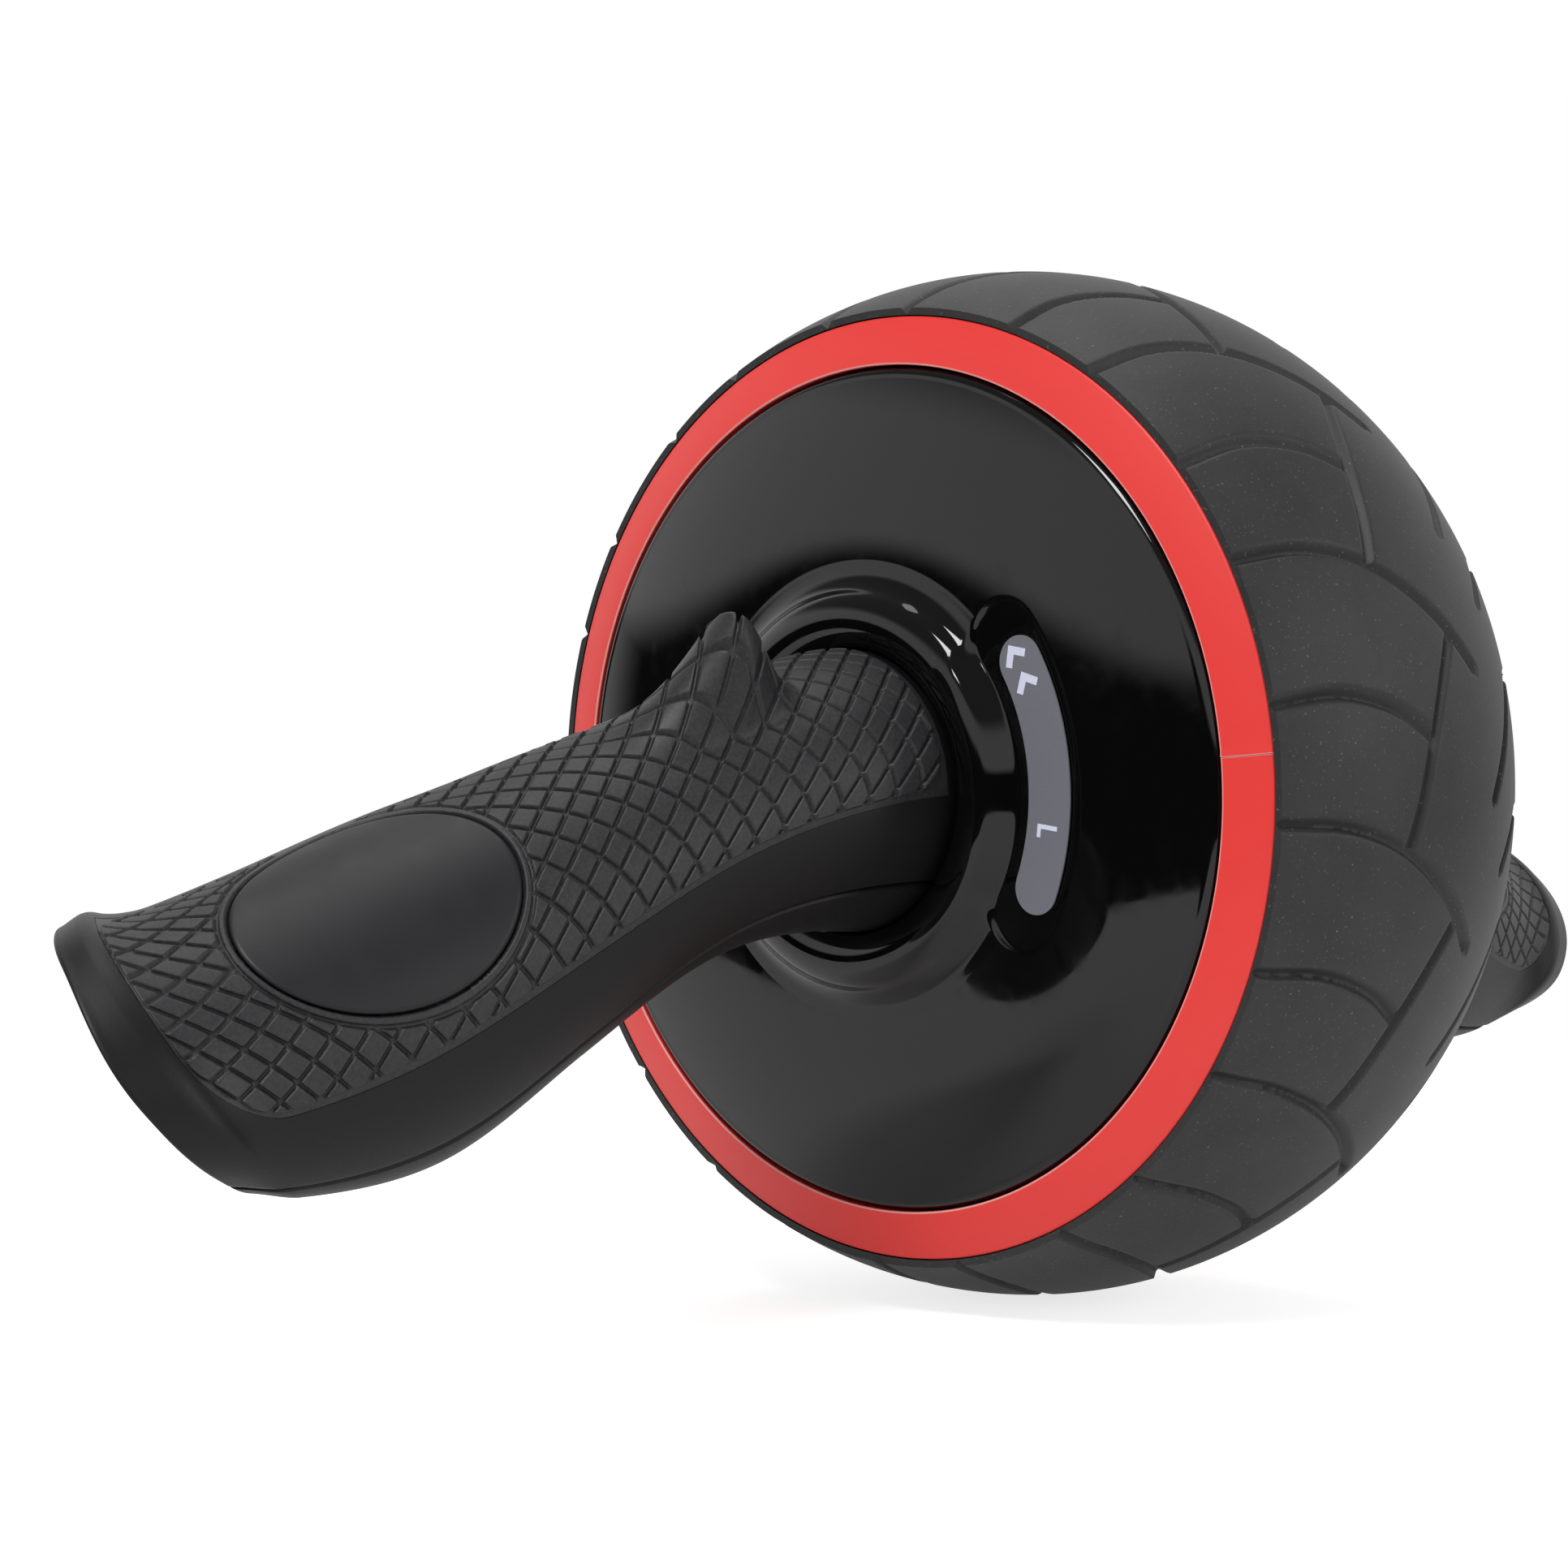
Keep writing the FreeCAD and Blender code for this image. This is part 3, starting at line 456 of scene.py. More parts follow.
# Side labels: grey polyester film, die cut to a bent slot and stuck in the hub cover's pocket.
# Two arrowheads and the side's letter are screen printed on each in a pale ink.
label_radius, label_half_width, label_half_span = 43.75, 4.55, 26.5
ink_height = 0.03
arc_points, end_points = 61, 17
arrow_places = ((43.2, 144.7), (43.2, 151.8))  # radius and angle of the tips
arrow = ((0.0, 0.0), (2.7, 2.7), (3.7, 1.7), (2.0, 0.0), (3.7, -1.7), (2.7, -2.7))  # along the arc and outward
letter_radius, letter_angle = 41.5, 187.8
letter_strokes = {
    "left": (((0.0, 0.0), (0.0, 4.3), (0.8, 4.3), (0.8, 0.8), (2.3, 0.8), (2.3, 0.0)),),
    "right": (((0.0, 0.0), (0.0, 4.6), (-0.8, 4.6), (-0.8, 0.0)),
              ((-0.8, 3.8), (-0.8, 4.6), (-1.9, 4.6), (-1.9, 3.8)),
              ((-0.8, 2.0), (-0.8, 2.8), (-1.9, 2.8), (-1.9, 2.0)),
              ((-1.9, 2.0), (-1.9, 4.6), (-2.7, 4.2), (-2.7, 2.4)),
              ((-0.9, 2.0), (-1.8, 2.0), (-2.9, 0.0), (-2.0, 0.0))),
}

# Polyester film: even mid grey with a soft sheen and a faint brushed tone.
film_fleck = 0.4
grey_film, tree, shader, place = new_material("printed_polyester_film", "#6F6F78", 0.45)
flecks = noise(tree, place, film_fleck, 2.0)
wire(tree, shader, {"Base Color": tones(tree, flecks, "#68686F", "#74747E")})

# Screen-printed ink: pale lavender white, slightly uneven where the mesh let less ink through.
ink_mesh = 0.3
pale_ink, tree, shader, place = new_material("screen_printed_ink", "#D8DCF0", 0.5)
weave = noise(tree, place, ink_mesh, 2.0)
wire(tree, shader, {"Base Color": tones(tree, weave, "#C9CDE4", "#E2E5F6")})


def slabs(name, outlines, low, high):
    """A flat piece of one or more outlines of points in the wheel's plane, between two places on the axle."""
    corners, faces = [], []
    for outline in outlines:
        first, count = len(corners), len(outline)
        corners += [(x, y, z) for y in (low, high) for x, z in outline]
        faces += [list(range(first, first + count))[::-1], list(range(first + count, first + 2 * count))]
        faces += [[first + i, first + (i + 1) % count, first + count + (i + 1) % count, first + count + i]
                  for i in range(count)]
    mesh = bpy.data.meshes.new(name)
    mesh.from_pydata((np.array(corners) * MM).tolist(), [], faces)
    shape = bmesh.new()
    shape.from_mesh(mesh)
    bmesh.ops.recalc_face_normals(shape, faces=shape.faces)
    shape.to_mesh(mesh)
    shape.free()
    piece = bpy.data.objects.new(name, mesh)
    bpy.context.scene.collection.objects.link(piece)
    return piece


def placed(outline, radius, angle):
    """An outline along the arc and outward, set at a radius and angle on the wheel."""
    turn = math.radians(angle)
    outward, along = np.array([math.cos(turn), math.sin(turn)]), np.array([-math.sin(turn), math.cos(turn)])
    return [outward * (radius + out) + along * run for run, out in outline]


def slot_outline(radius, half_width, half_span):
    """Outline of a slot with round ends, bent round the axle."""
    arc = label_angle + np.linspace(-half_span, half_span, arc_points)
    half_circle = np.radians(np.linspace(90, -90, end_points))[1:-1]
    outline = [placed([(0, half_width)], radius, angle)[0] for angle in arc]
    outline += placed([(half_width * math.cos(t), half_width * math.sin(t)) for t in half_circle], radius, arc[-1])
    outline += [placed([(0, -half_width)], radius, angle)[0] for angle in arc[::-1]]
    outline += placed([(-half_width * math.cos(t), half_width * math.sin(t)) for t in half_circle[::-1]],
                      radius, arc[0])
    return outline


for name, side in (("left", 1), ("right", -1)):
    label = slabs("label_" + name + "_film", [slot_outline(label_radius, label_half_width, label_half_span)],
                  side * label_low, side * label_high)
    fit(label, "wheel", "label_" + name, grey_film)
    outlines = [placed(arrow, radius, angle) for radius, angle in arrow_places]
    outlines += [placed(stroke, letter_radius, letter_angle) for stroke in letter_strokes[name]]
    print_marks = slabs("label_" + name + "_print", outlines, side * (label_high - ink_height),
                        side * (label_high + ink_height))
    fit(print_marks, "wheel", "label_" + name, pale_ink)


# Handle shells: black ABS, moulded in upper and lower halves and screwed together round the axle's end.
# The upper half is recessed for the grip and the handle ends in a rounded lip; a locking screw sits in a hole below.
neck_y = 47.0
spigot_length = 3.0
spine_start_pull = 60.0
end_centre = np.array([27.4, 178.8, -39.5])
end_pull = np.array([2.0, 59.4, -2.2])
end_normal = np.array([0.559, 0.574, -0.599])
end_turn_power = 1.45
top_tilt, top_twist = math.radians(49.5), math.radians(-12.2)
section_heights = (25.0, 21.0, 23.5, 27.9, 28.9)  # half of the section, at even steps from the neck to the end
section_widths = (25.0, 22.7, 25.8, 29.3, 26.6)
section_radius = 25.0  # a rough mean, to turn angles into lengths
grip_start, grip_end = 0.004, 0.945  # in parts of the handle
grip_half_angle = 51.3
corner_start, corner_angle = 0.89, 20.0  # where the grip's rear edge curves in at the end
grip_thickness = 2.0
grip_gap, recess_gap = 0.05, 0.1  # beside the grip and under it
parting_angle = 90
parting_gap = 0.3
parting_round = 0.9
lip_round = 0.7
lip_foot = 0.9
lip_heights = (0.0, 0.12, 0.38, 0.75, 1.35, 2.25, 2.4, 2.1, 1.7, 1.25, 0.9)  # at even steps from foot to end
front_dip = 0.95  # how far the front of the palm side lies below a true oval
end_tuck = 1.6  # how far the end's lower edge is rounded in
end_lean = (0.005, -0.011)  # how far the end stands out at the back and in at the front, in parts of the handle
# Starts and lengths of soft steps, in degrees from the palm side's middle, or in parts of the handle where they are
# along it
lip_rear, lip_front = (-85, 40), (115, -35)
dip_along, dip_round = (0.6, 0.2), (20, 35)
tuck_along, tuck_front, tuck_rear = (0.95, 0.05), (100, 50), (-50, -40)
lean_across, lean_under = (-35, 60), (180, 80)
shell_wall = 3.4
lock_screw_radius = 4.8
lock_hole_start = -60  # below the neck
handle_screw_radius = 3.8
handle_screw_places = (0.4, 0.62, 0.84)


def unit(vectors):
    """Vectors of the same directions and a length of 1."""
    return vectors / np.linalg.norm(vectors, axis=-1, keepdims=True)


def spine(u):
    """Point on the handle's curved middle line, from 0 at the neck to 1 at the end."""
    u = np.asarray(u, float)[..., None]
    start = np.array([0.0, neck_y, 0.0])
    return ((1 - u) ** 3 * start + 3 * u * (1 - u) ** 2 * (start + [0, spine_start_pull, 0])
            + 3 * u ** 2 * (1 - u) * (end_centre - end_pull) + u ** 3 * end_centre)


def section_axes(u):
    """Upward and forward directions of the handle's section."""
    turn = np.maximum(u, 0)[..., None] ** end_turn_power
    normal = unit(np.array([0.0, 1.0, 0.0]) * (1 - turn) + end_normal * turn)
    top = np.array([-math.cos(top_tilt), 0.0, math.sin(top_tilt)])
    top = unit(top - normal * (normal @ top)[..., None])
    front = np.cross(normal, top)
    twist = (top_twist * np.maximum(u, 0))[..., None]
    top = top * np.cos(twist) + front * np.sin(twist)
    return top, np.cross(normal, top)


def section_size(sizes, u):
    """Half the height or width of the handle's section."""
    return smooth(sizes, np.clip(u, 0, 1) * (len(sizes) - 1))


def handle_point(u, angle, lift):
    """Point on the handle's outside, at an angle from the palm side, lifted off the surface."""
    top, front = section_axes(u)
    height, width = section_size(section_heights, u) + lift, section_size(section_widths, u) + lift
    angle = np.radians(angle)
    return spine(u) + top * (height * np.cos(angle))[..., None] + front * (width * np.sin(angle))[..., None]


def stepped(value, start, length):
    """A soft step from 0 to 1 that takes a length from its start, or back from it where the length is negative."""
    return ease((value - start) / length)


def lip_rise(u, angle):
    """How far the handle's outside swells into the lip at its end, on the palm side, less the dip at its front."""
    lip = smooth(lip_heights, np.clip((u - lip_foot) / (1 - lip_foot), 0, 1) * (len(lip_heights) - 1))
    dip = front_dip * stepped(u, *dip_along) * stepped(angle, *dip_round) * stepped(angle, *lip_front)
    return lip * (stepped(angle, *lip_rear) * stepped(angle, *lip_front)) - dip


def leaned(u, angle):
    """Places along the handle, moved near its end so that the end leans."""
    lean = end_lean[0] + (end_lean[1] - end_lean[0]) * stepped(angle, *lean_across)
    lean = np.where(angle > lip_front[0], end_lean[0] * stepped(angle, *lean_under),
                    lean * stepped(angle, *lip_front))
    return u + lean * stepped(u, grip_end, 1 - grip_end)


def drawn_in(u, angle):
    """Angles on the palm side, moved so that the grip's rear edge follows its curve."""
    share = np.clip((u - corner_start) / (grip_end - corner_start), 0, 1)
    edge = corner_angle + (grip_half_angle - corner_angle) * np.sqrt(1 - share ** 2)
    beyond = -edge + (angle + grip_half_angle) * (parting_angle - edge) / (parting_angle - grip_half_angle)
    return np.where(angle > 0, angle, np.where(angle > -grip_half_angle, angle * edge / grip_half_angle, beyond))


# Fine-textured ABS: near black, with an even spark-eroded grain that leaves a soft, low sheen.
abs_grain = 0.45
textured_abs, tree, shader, place = new_material("fine_textured_black_abs", "#0A0A0B", 0.46,
                                                 {"Specular IOR Level": 0.28})
grain = noise(tree, place, abs_grain, 2.0)
wire(tree, shader, {"Roughness": spread(tree, grain, 0.4, 0.54), "Normal": bumps(tree, grain, 0.3, 0.05)})


def bored(piece, holes):
    """The piece with round holes cut into it, each from a start to an end with a radius."""
    shape = bmesh.new()
    for start, end, radius in holes:
        run = Vector(end) - Vector(start)
        place = Matrix.Translation((Vector(start) + Vector(end)) / 2) @ run.to_track_quat("Z", "Y").to_matrix().to_4x4()
        bmesh.ops.create_cone(shape, cap_ends=True, segments=48, radius1=radius, radius2=radius, depth=run.length,
                              matrix=Matrix.Scale(MM, 4) @ place)
    drill = bpy.data.objects.new("drill", bpy.data.meshes.new("drill"))
    shape.to_mesh(drill.data)
    shape.free()
    bpy.context.scene.collection.objects.link(drill)
    cut = piece.modifiers.new("bore", "BOOLEAN")
    cut.object = drill
    cut.solver = "EXACT"
    view = bpy.context.evaluated_depsgraph_get()
    plain = piece.data
    piece.data = bpy.data.meshes.new_from_object(piece.evaluated_get(view))
    piece.modifiers.clear()
    bpy.data.meshes.remove(plain)
    bpy.data.objects.remove(drill)
    piece.data.set_sharp_from_angle(angle=math.radians(40))


end_depth = 3 * end_pull @ end_normal  # mm along the end's normal for a unit of u
lip_turn = np.radians(np.linspace(0, 90, 10))
lip_stations = 1 - lip_round * (1 - np.sin(lip_turn)) / end_depth
lip_inset = lip_round * (1 - np.cos(lip_turn))
spigot_u = -spigot_length / (3 * spine_start_pull)
edge_u, edge_angle = 1e-4, 0.02  # width of the walls of the grip's recess
corner_u = corner_start + (grip_end - corner_start) * np.sin(np.radians(np.linspace(0, 90, 40)))[1:-1]
shell_u = np.concatenate([np.linspace(spigot_u, grip_start - edge_u, 4), [grip_start - edge_u / 2],
                          np.linspace(grip_start + 0.01, corner_start, 95), corner_u, [grip_end + edge_u / 2],
                          np.linspace(grip_end + edge_u, lip_stations[0], 30)[:-1], lip_stations])
end_inset = np.concatenate([np.zeros(len(shell_u) - len(lip_stations)), lip_inset])
recess_angle = grip_half_angle + math.degrees(grip_gap / section_radius)
upper_angles = np.concatenate([np.linspace(-parting_angle, -recess_angle, 30),
                               np.linspace(-recess_angle + edge_angle, recess_angle - edge_angle, 61),
                               np.linspace(recess_angle, parting_angle, 30)])
lower_angles = np.linspace(parting_angle, parting_angle + 180, 121)
flat_share = np.linspace(0, 1, 9)[1:-1][None, :, None]


def make_shell(angles, recessed, way):
    """A solid half of the handle between two angles, with rounded edges along the parting line."""
    u, plain = np.meshgrid(shell_u, angles, indexing="ij")
    angle = drawn_in(u, plain) if recessed else plain
    from_parting = np.radians((angle + parting_angle) % 180) * section_radius
    from_parting = np.minimum(from_parting, np.radians(180) * section_radius - from_parting)
    from_round = np.clip(1 - from_parting / parting_round, 0, 1)
    lift = -end_inset[:, None] - parting_round * (1 - np.sqrt(1 - from_round ** 2))
    below = np.where(angle > parting_angle, stepped(angle, *tuck_front), stepped(angle, *tuck_rear))
    lift = lift + lip_rise(u, angle) - end_tuck * stepped(u, *tuck_along) * below
    if recessed:
        under_grip = (u > grip_start - edge_u) & (u < grip_end + 0.75 * edge_u)
        covered = (np.abs(plain) < recess_angle - edge_angle / 2) & under_grip
        lift = lift - np.where(covered, grip_thickness + recess_gap, 0.0)
    outer = handle_point(leaned(u, angle), angle, lift)
    outer += section_axes(shell_u)[0][:, None, :] * (way * parting_gap / 2)
    flat = outer[:, -1:, :] * (1 - flat_share) + outer[:, :1, :] * flat_share
    return np.concatenate([outer, flat], axis=1)


upper_points = make_shell(upper_angles, True, 1)
lower_points = make_shell(lower_angles, False, -1)
lock_low, lock_high = (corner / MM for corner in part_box("lock_screw_left"))
lock_y = (lock_low.y + lock_high.y) / 2
holes = [((0, lock_y, lock_hole_start), (0, lock_y, lock_high.z), lock_screw_radius)]
for u in handle_screw_places:
    centre, top = spine(u), section_axes(np.array([u]))[0][0]
    height = float(section_size(section_heights, np.array([u]))[0])
    hole_start, hole_end = centre - top * 2 * height, centre - top * (height - 3 * shell_wall)
    holes.append((tuple(hole_start), tuple(hole_end), handle_screw_radius))
for name, side in (("left", 1), ("right", -1)):
    upper = skin("handle_upper_" + name + "_shell", upper_points * [1, side, 1], close_columns=True, caps=True,
                 crease=40)
    lower = skin("handle_lower_" + name + "_shell", lower_points * [1, side, 1], close_columns=True, caps=True,
                 crease=40)
    bored(lower, [((a[0], side * a[1], a[2]), (b[0], side * b[1], b[2]), r) for a, b, r in holes])
    fit(upper, "handlebar", "handle_upper_" + name, textured_abs)
    fit(lower, "handlebar", "handle_lower_" + name, textured_abs)


# Grips: black thermoplastic rubber, moulded over the upper shell, with a thumb rest that stands up near the neck.
# Raised lozenges with rounded corners cover them, and a plain rim runs round the palm pad.
grip_rows, grip_columns = 740, 270
lozenge_height = 0.75
lozenge_groove = 0.2  # half the width of the groove's floor
lozenge_edge = 0.22  # width of a lozenge's sloping edge
lozenge_margin = 1.3  # plain strip along the grip's sides
end_margin = 0.3
corner_round = 7.0
floor_depth = 0.1
floor_slope = 0.5  # strip over which the grooves' floor gets down to its depth
# Groove lines per mm along the handle and per mm round it, then their bend round the handle, their twist and
# their gathering towards the end, each for 100 mm
rising_lines = {"start": -6.16, "along": 0.1617, "round": 0.2038,
                "bend": -0.0137, "twist": -0.0067, "gather": -0.148}
falling_lines = {"start": -6.33, "along": 0.168, "round": -0.1071,
                 "bend": -0.2688, "twist": -0.0709, "gather": 0.1096}
gather_start = 105.0
thumb_height = 16.0
thumb_place, thumb_rise, thumb_fall, thumb_hollow = 0.23, 0.17, 0.1, 2.3
thumb_angle, thumb_front, thumb_back = 20.5, 30.0, 24.0
thumb_relief = 1.2  # how much more the lozenges stand up at the thumb rest's crest, as a share
pad_place = 0.706
pad_shift = 1.8  # of the pad's middle towards the front
pad_half_length, pad_half_width = 24.3, 18.5
pad_gap = 0.3
pad_rim = 1.5
pad_groove = 0.5
pad_seat = 1.6  # depth of the hollow for the pad

spine_u = np.linspace(0, 1, 400)
spine_length = np.concatenate([[0], np.cumsum(np.linalg.norm(np.diff(spine(spine_u), axis=0), axis=1))])


def thumb_rest(u, angle):
    """Height of the thumb rest above the grip: a hollow rise to its crest and a round fall to the neck."""
    rise = np.clip(1 - (u - thumb_place) / thumb_rise, 0, 1) ** thumb_hollow
    fall = ease(1 - (thumb_place - u) / thumb_fall)
    across = ease(1 - np.abs(angle - thumb_angle) / np.where(angle > thumb_angle, thumb_front, thumb_back))
    return thumb_height * np.where(u > thumb_place, rise, fall) * across


def groove_gap(lines, run, around):
    """Distance in mm to the nearest groove line of one set."""
    late = np.maximum(run - gather_start, 0)
    count = (lines["start"] + lines["along"] * run + lines["round"] * around + lines["bend"] * around ** 2 / 100
             + lines["twist"] * run * around / 100 + lines["gather"] * late ** 2 / 100)
    rate_along = lines["along"] + lines["twist"] * around / 100 + lines["gather"] * late / 50
    rate_round = lines["round"] + lines["bend"] * around / 50 + lines["twist"] * run / 100
    return np.abs(count - np.round(count)) / np.hypot(rate_along, rate_round)


pad_top_way, pad_front = (way[0] for way in section_axes(np.array([pad_place])))
pad_along = np.cross(pad_top_way, pad_front)
pad_middle = handle_point(np.array([pad_place]), np.zeros(1), 0)[0] + pad_front * pad_shift


def pad_distance(points):
    """Distance in mm outside the palm pad's oval edge, seen square to the pad."""
    along, across = (points - pad_middle) @ pad_along, (points - pad_middle) @ pad_front
    share = np.maximum(np.hypot(along / pad_half_length, across / pad_half_width), 0.01)
    return (share - 1) * share / np.hypot(along / pad_half_length ** 2, across / pad_half_width ** 2)


grip_u = np.linspace(grip_start, grip_end, grip_rows)
grip_angles = np.linspace(-grip_half_angle, grip_half_angle, grip_columns)
u, angle = np.meshgrid(grip_u, grip_angles, indexing="ij")
angle = drawn_in(u, angle)
mean_radius = (section_size(section_heights, u) + section_size(section_widths, u)) / 2
run = np.interp(u, spine_u, spine_length)
around = np.radians(angle) * mean_radius
outside_pad = pad_distance(handle_point(u, angle, 0))
to_groove = np.minimum(groove_gap(rising_lines, run, around), groove_gap(falling_lines, run, around))
to_side = np.radians(grip_half_angle) * mean_radius - np.abs(around) - lozenge_margin
to_end = np.minimum(run - run[:1] - lozenge_margin, run[-1:] - run - end_margin)
from_corner = np.hypot(np.maximum(corner_round - to_side, 0), np.maximum(corner_round - to_end, 0))
corner_run = np.interp(corner_start, spine_u, spine_length)
corner_long, corner_wide = run[-1:] - corner_run, np.radians(grip_half_angle - corner_angle) * mean_radius
past_run = np.maximum(run - corner_run, 0)
past_angle = np.maximum(-around - np.radians(corner_angle) * mean_radius, 0)
corner_share = np.hypot(past_run / corner_long, past_angle / corner_wide)
corner_slope = np.hypot(past_run / corner_long ** 2, past_angle / corner_wide ** 2)
# The small numbers keep the distance large and finite away from the corner
to_curve = (1 - corner_share) * (corner_share + 1e-3) / (corner_slope + 1e-6)
to_curve = to_curve - end_margin - (lozenge_margin - end_margin) * past_angle / corner_wide
to_border = np.minimum(np.minimum(to_side, to_end), np.minimum(corner_round - from_corner, to_curve))
to_edge = np.minimum(to_border, outside_pad - pad_rim - pad_groove)
lozenge = ease(np.minimum(to_groove - lozenge_groove, to_edge) / lozenge_edge)
rim_band = ease(np.minimum(outside_pad - pad_gap, pad_rim - outside_pad) / lozenge_edge)
thumb_lift = thumb_rest(u, angle)
relief = lozenge_height * (1 + thumb_relief * thumb_lift / thumb_height)
floor_drop = floor_depth * ease(to_border / floor_slope)
grip_lift = relief * np.maximum(lozenge, rim_band) - floor_drop + thumb_lift + lip_rise(u, angle)
grip_lift = np.where(outside_pad < pad_gap / 2, -pad_seat, grip_lift)
grip_top = handle_point(u, angle, grip_lift)
under_angles = np.linspace(grip_half_angle, -grip_half_angle, 30)
under_u, under_angle = np.meshgrid(grip_u, under_angles, indexing="ij")
grip_under = handle_point(under_u, drawn_in(under_u, under_angle), np.full(under_u.shape, -grip_thickness))
grip_points = np.concatenate([grip_top, grip_under], axis=1)

# Moulded thermoplastic rubber: soft black with a dry, dusty look that breaks up its low shine.
grip_dust = 0.6
grip_rubber, tree, shader, place = new_material("moulded_grip_rubber", "#19191A", 0.5, {"Specular IOR Level": 0.42})
dust = noise(tree, place, grip_dust, 3.0)
wire(tree, shader, {"Base Color": tones(tree, dust, "#1C1C1E", "#2D2D2F", 0.35, 0.75),
                    "Normal": bumps(tree, dust, 0.3, 0.05)})
for name, side in (("left", 1), ("right", -1)):
    grip = skin("grip_" + name + "_rubber", grip_points * [1, side, 1], close_columns=True, caps=True)
    fit(grip, "handlebar", "grip_" + name, grip_rubber)


# Palm pads: smooth oval inserts of black thermoplastic rubber, moulded on their own and glued into the grips.
# They lie level with the grip and have a rounded edge.
pad_rings, pad_columns = 40, 160
pad_round = 0.8
pad_depth = 1.8
pad_first, pad_flat, pad_edge = 0.02, 0.94, 0.045  # shares of the way out: innermost ring, flat part, rounded edge
search_steps = 12
rough_length, rough_radius = 180, 30  # of the handle, for the search
pad_turn = np.arange(pad_columns) * 2 * math.pi / pad_columns
edge_turn = np.radians(np.linspace(0, 90, 9))
pad_share = np.concatenate([np.linspace(pad_first, pad_flat, pad_rings), 1 - (1 - np.sin(edge_turn)) * pad_edge])
share, turn = np.meshgrid(pad_share, pad_turn, indexing="ij")
edge_drop = np.concatenate([np.zeros(pad_rings), pad_round * (1 - np.cos(edge_turn))])
pad_along_want = share * np.cos(turn) * pad_half_length
pad_front_want = share * np.sin(turn) * pad_half_width
pad_u, pad_angle = np.full(share.shape, pad_place), np.zeros(share.shape)
for step in range(search_steps):
    off = handle_point(pad_u, pad_angle, 0) - pad_middle
    pad_u = pad_u + (pad_along_want - off @ pad_along) / rough_length
    pad_angle = pad_angle + np.degrees((pad_front_want - off @ pad_front) / rough_radius)
pad_lift = lozenge_height - floor_depth - edge_drop[:, None] + lip_rise(pad_u, pad_angle)
pad_top = handle_point(pad_u, pad_angle, pad_lift)
pad_under = handle_point(pad_u[::-8], pad_angle[::-8], np.full(pad_u[::-8].shape, -pad_depth))
pad_points = np.concatenate([pad_top, pad_under])

# Smooth thermoplastic rubber: black with a satin skin, glossier than the grip.
pad_ripple = 5.0
pad_rubber, tree, shader, place = new_material("smooth_pad_rubber", "#161619", 0.42, {"Specular IOR Level": 0.36})
ripple = noise(tree, place, pad_ripple, 4.0)
wire(tree, shader, {"Roughness": spread(tree, ripple, 0.4, 0.55)})
for name, side in (("left", 1), ("right", -1)):
    pad = skin("palm_pad_" + name + "_oval", pad_points * [1, side, 1], close_columns=True, caps=True)
    fit(pad, "handlebar", "palm_pad_" + name, pad_rubber)


# Studio: a lit pale table under the tyre, a white backdrop behind the roller and windows all round the room.
# Below the windows it is dark, which leaves a black band in the glossy covers. Three soft boxes add the highlights.
floor_radius = 0.5  # metres
floor_gap = 0.2
backdrop_way = (0.694, -0.72, 0.0)  # from the camera to the roller and beyond
floor_mesh = bpy.data.meshes.new("floor")
shape = bmesh.new()
bmesh.ops.create_circle(shape, cap_ends=True, segments=96, radius=floor_radius)
shape.to_mesh(floor_mesh)
shape.free()
floor = bpy.data.objects.new("floor", floor_mesh)
floor.location.z = cad_box[0][2] - floor_gap * MM
bpy.context.scene.collection.objects.link(floor)
# Opal acrylic: white and matt, lit a little from below, so that the tyre's shadow on it stays pale.
opal, tree, shader, place = new_material("lit_opal_acrylic", "#D0D0D0", 0.9, {"Emission Color": linear("#FFFFFF")})
seen = add(tree, "ShaderNodeLightPath")
wire(tree, shader, {"Emission Strength": spread(tree, seen.outputs["Is Camera Ray"], 0.3, 0.75)})
floor_mesh.materials.append(opal)

room = bpy.data.worlds.new("studio")
room.use_nodes = True
bpy.context.scene.world = room
tree = room.node_tree
direction = add(tree, "ShaderNodeTexCoord").outputs["Generated"]
parts = add(tree, "ShaderNodeSeparateXYZ", {}, {"Vector": direction})


def soft_edge(value, from_low, from_high, low, high):
    """Light that changes softly from one strength to another over a part of the room."""
    return add(tree, "ShaderNodeMapRange", {"From Min": from_low, "From Max": from_high, "To Min": low, "To Max": high},
               {"Value": value}, interpolation_type="SMOOTHSTEP").outputs["Result"]


def joined(first, second, operation):
    """Two strengths of light put together."""
    return add(tree, "ShaderNodeMath", {}, {0: first, 1: second}, operation=operation).outputs["Value"]


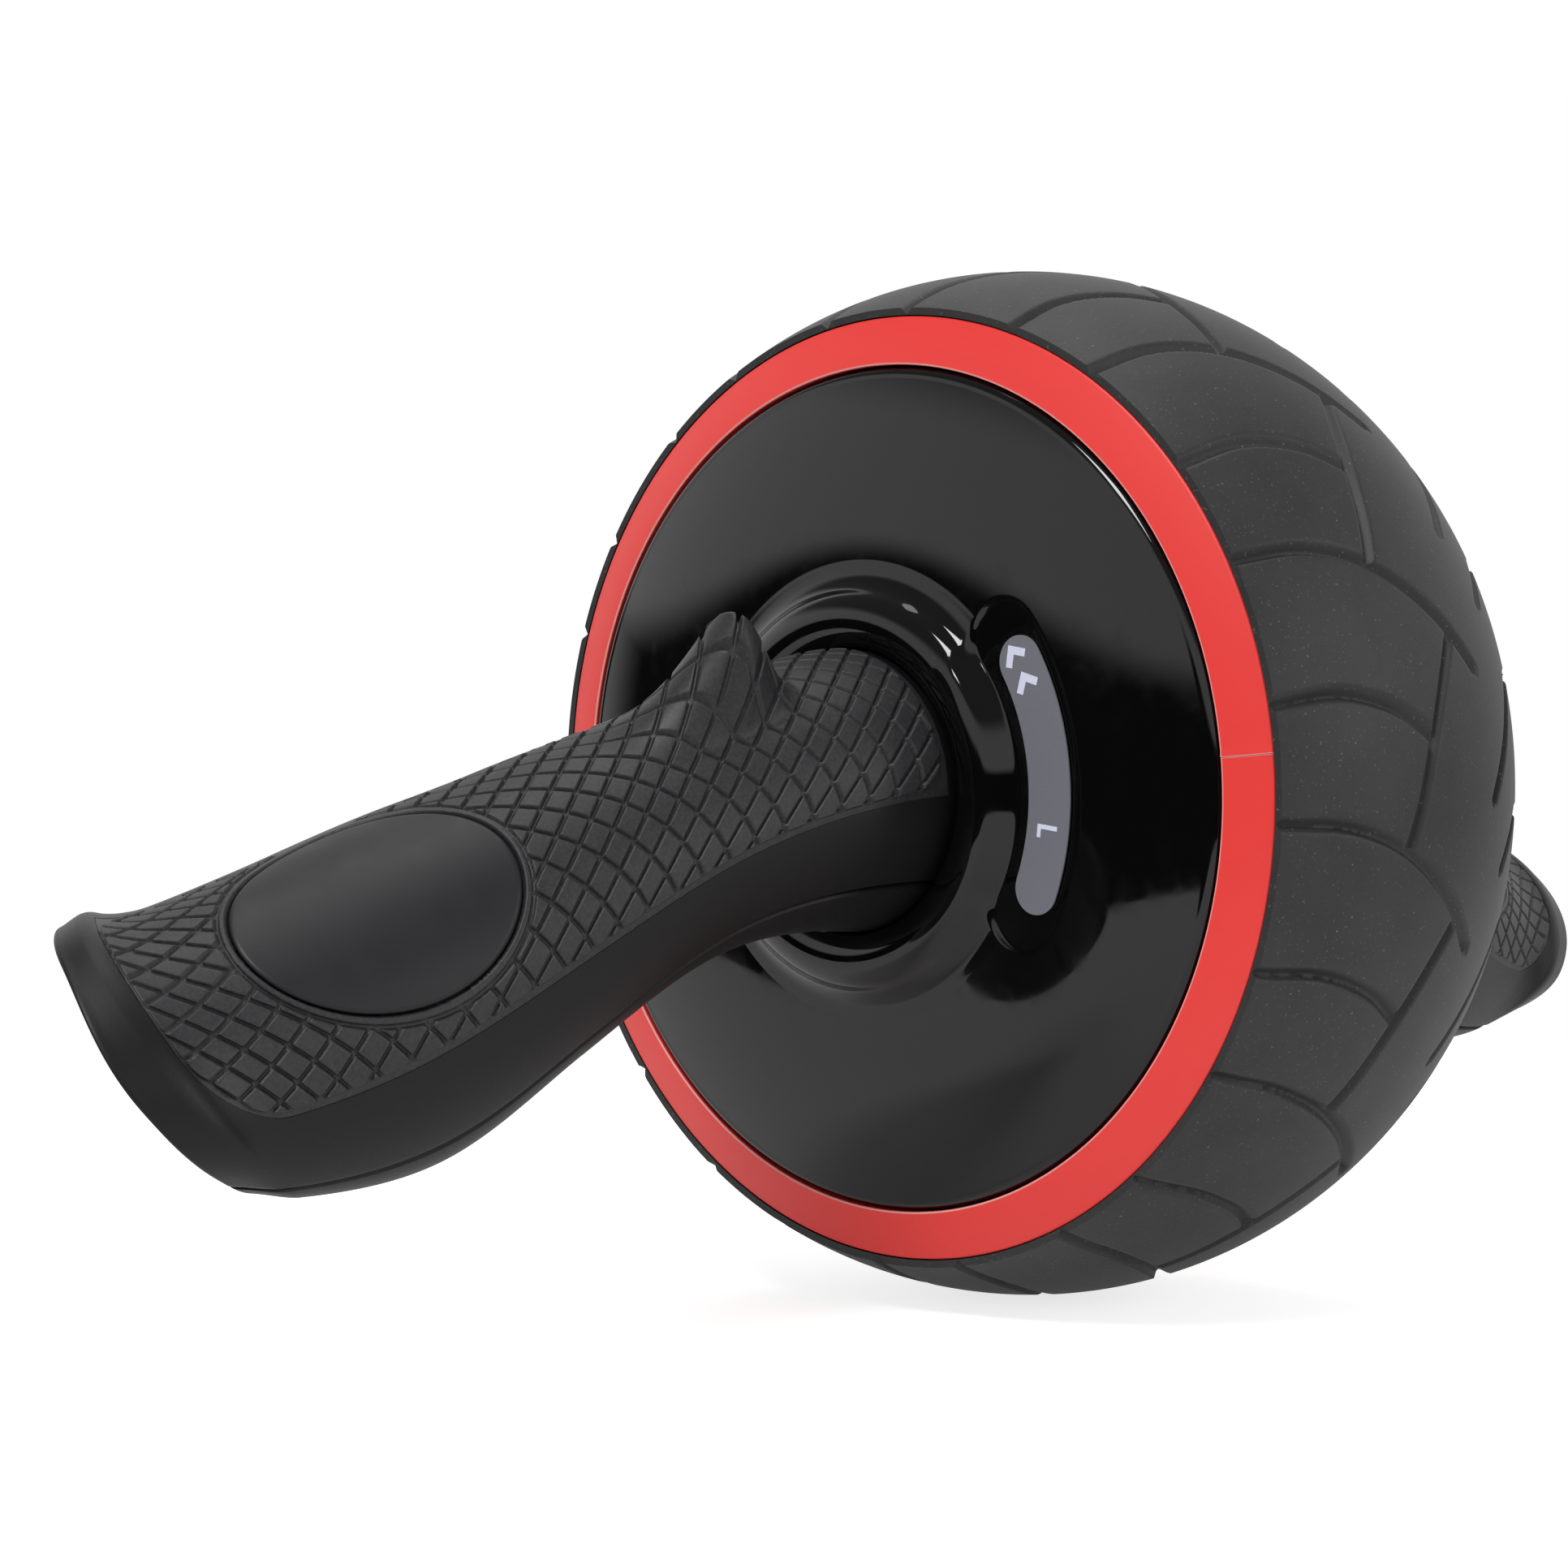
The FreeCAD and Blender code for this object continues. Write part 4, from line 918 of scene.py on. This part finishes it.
windows = soft_edge(parts.outputs["Z"], 0.1, 0.17, 0.02, 1.1)
ceiling = soft_edge(parts.outputs["Z"], 0.4, 0.56, 1.0, 0.2)
behind = add(tree, "ShaderNodeVectorMath", {1: backdrop_way}, {0: direction}, operation="DOT_PRODUCT")
backdrop = soft_edge(behind.outputs["Value"], 0.35, 0.6, 0.0, 1.0)
glow = joined(joined(windows, ceiling, "MULTIPLY"), backdrop, "MAXIMUM")
white = joined(glow, add(tree, "ShaderNodeLightPath").outputs["Is Camera Ray"], "MAXIMUM")
tree.links.new(white, tree.nodes["Background"].inputs["Strength"])
tree.nodes["Background"].inputs["Color"].default_value = linear("#FFFFFF")


def soft_box(name, place, aim, width, height, power):
    """A soft studio light, given by its place and aim in metres."""
    lamp = bpy.data.lights.new(name, "AREA")
    lamp.shape, lamp.size, lamp.size_y, lamp.energy = "RECTANGLE", width, height, power
    holder = bpy.data.objects.new(name, lamp)
    holder.location = place
    holder.rotation_euler = (Vector(aim) - Vector(place)).to_track_quat("-Z", "Y").to_euler()
    bpy.context.scene.collection.objects.link(holder)


soft_box("overhead_soft_box", (0.1, -0.2, 1.4), (0, 0, 0), 0.8, 0.6, 5)
soft_box("key_soft_box", (-0.25, 0.75, 1.0), (0, 0.05, 0), 0.4, 0.4, 10)
soft_box("side_strip", (-1.3, -0.5, 0.35), (0, 0, 0), 0.12, 0.9, 4)


# Camera, at the photograph's viewing angle: a little above the axle, behind and to the left of the roller.
# Its place, in metres, and its directions were fitted to the trim ring and the tread's outline.
camera_place = Vector((-0.44311, 0.52240, 0.01462))
camera_right = Vector((-0.71999, -0.69370, -0.01955))
camera_ahead = Vector((0.69398, -0.71971, -0.02029))
picture_width, focal_pixels = 1932, 4500
lens = bpy.data.cameras.new("camera")
lens.sensor_width = 36.0
lens.lens = lens.sensor_width * focal_pixels / picture_width
lens.clip_start = 0.01
camera = bpy.data.objects.new("camera", lens)
camera_up = camera_right.cross(camera_ahead)
camera_turn = Matrix((camera_right, camera_up, -camera_ahead)).transposed().to_4x4()
camera.matrix_world = Matrix.Translation(camera_place) @ camera_turn
bpy.context.scene.collection.objects.link(camera)
bpy.context.scene.camera = camera
bpy.context.scene.view_settings.view_transform = "Standard"
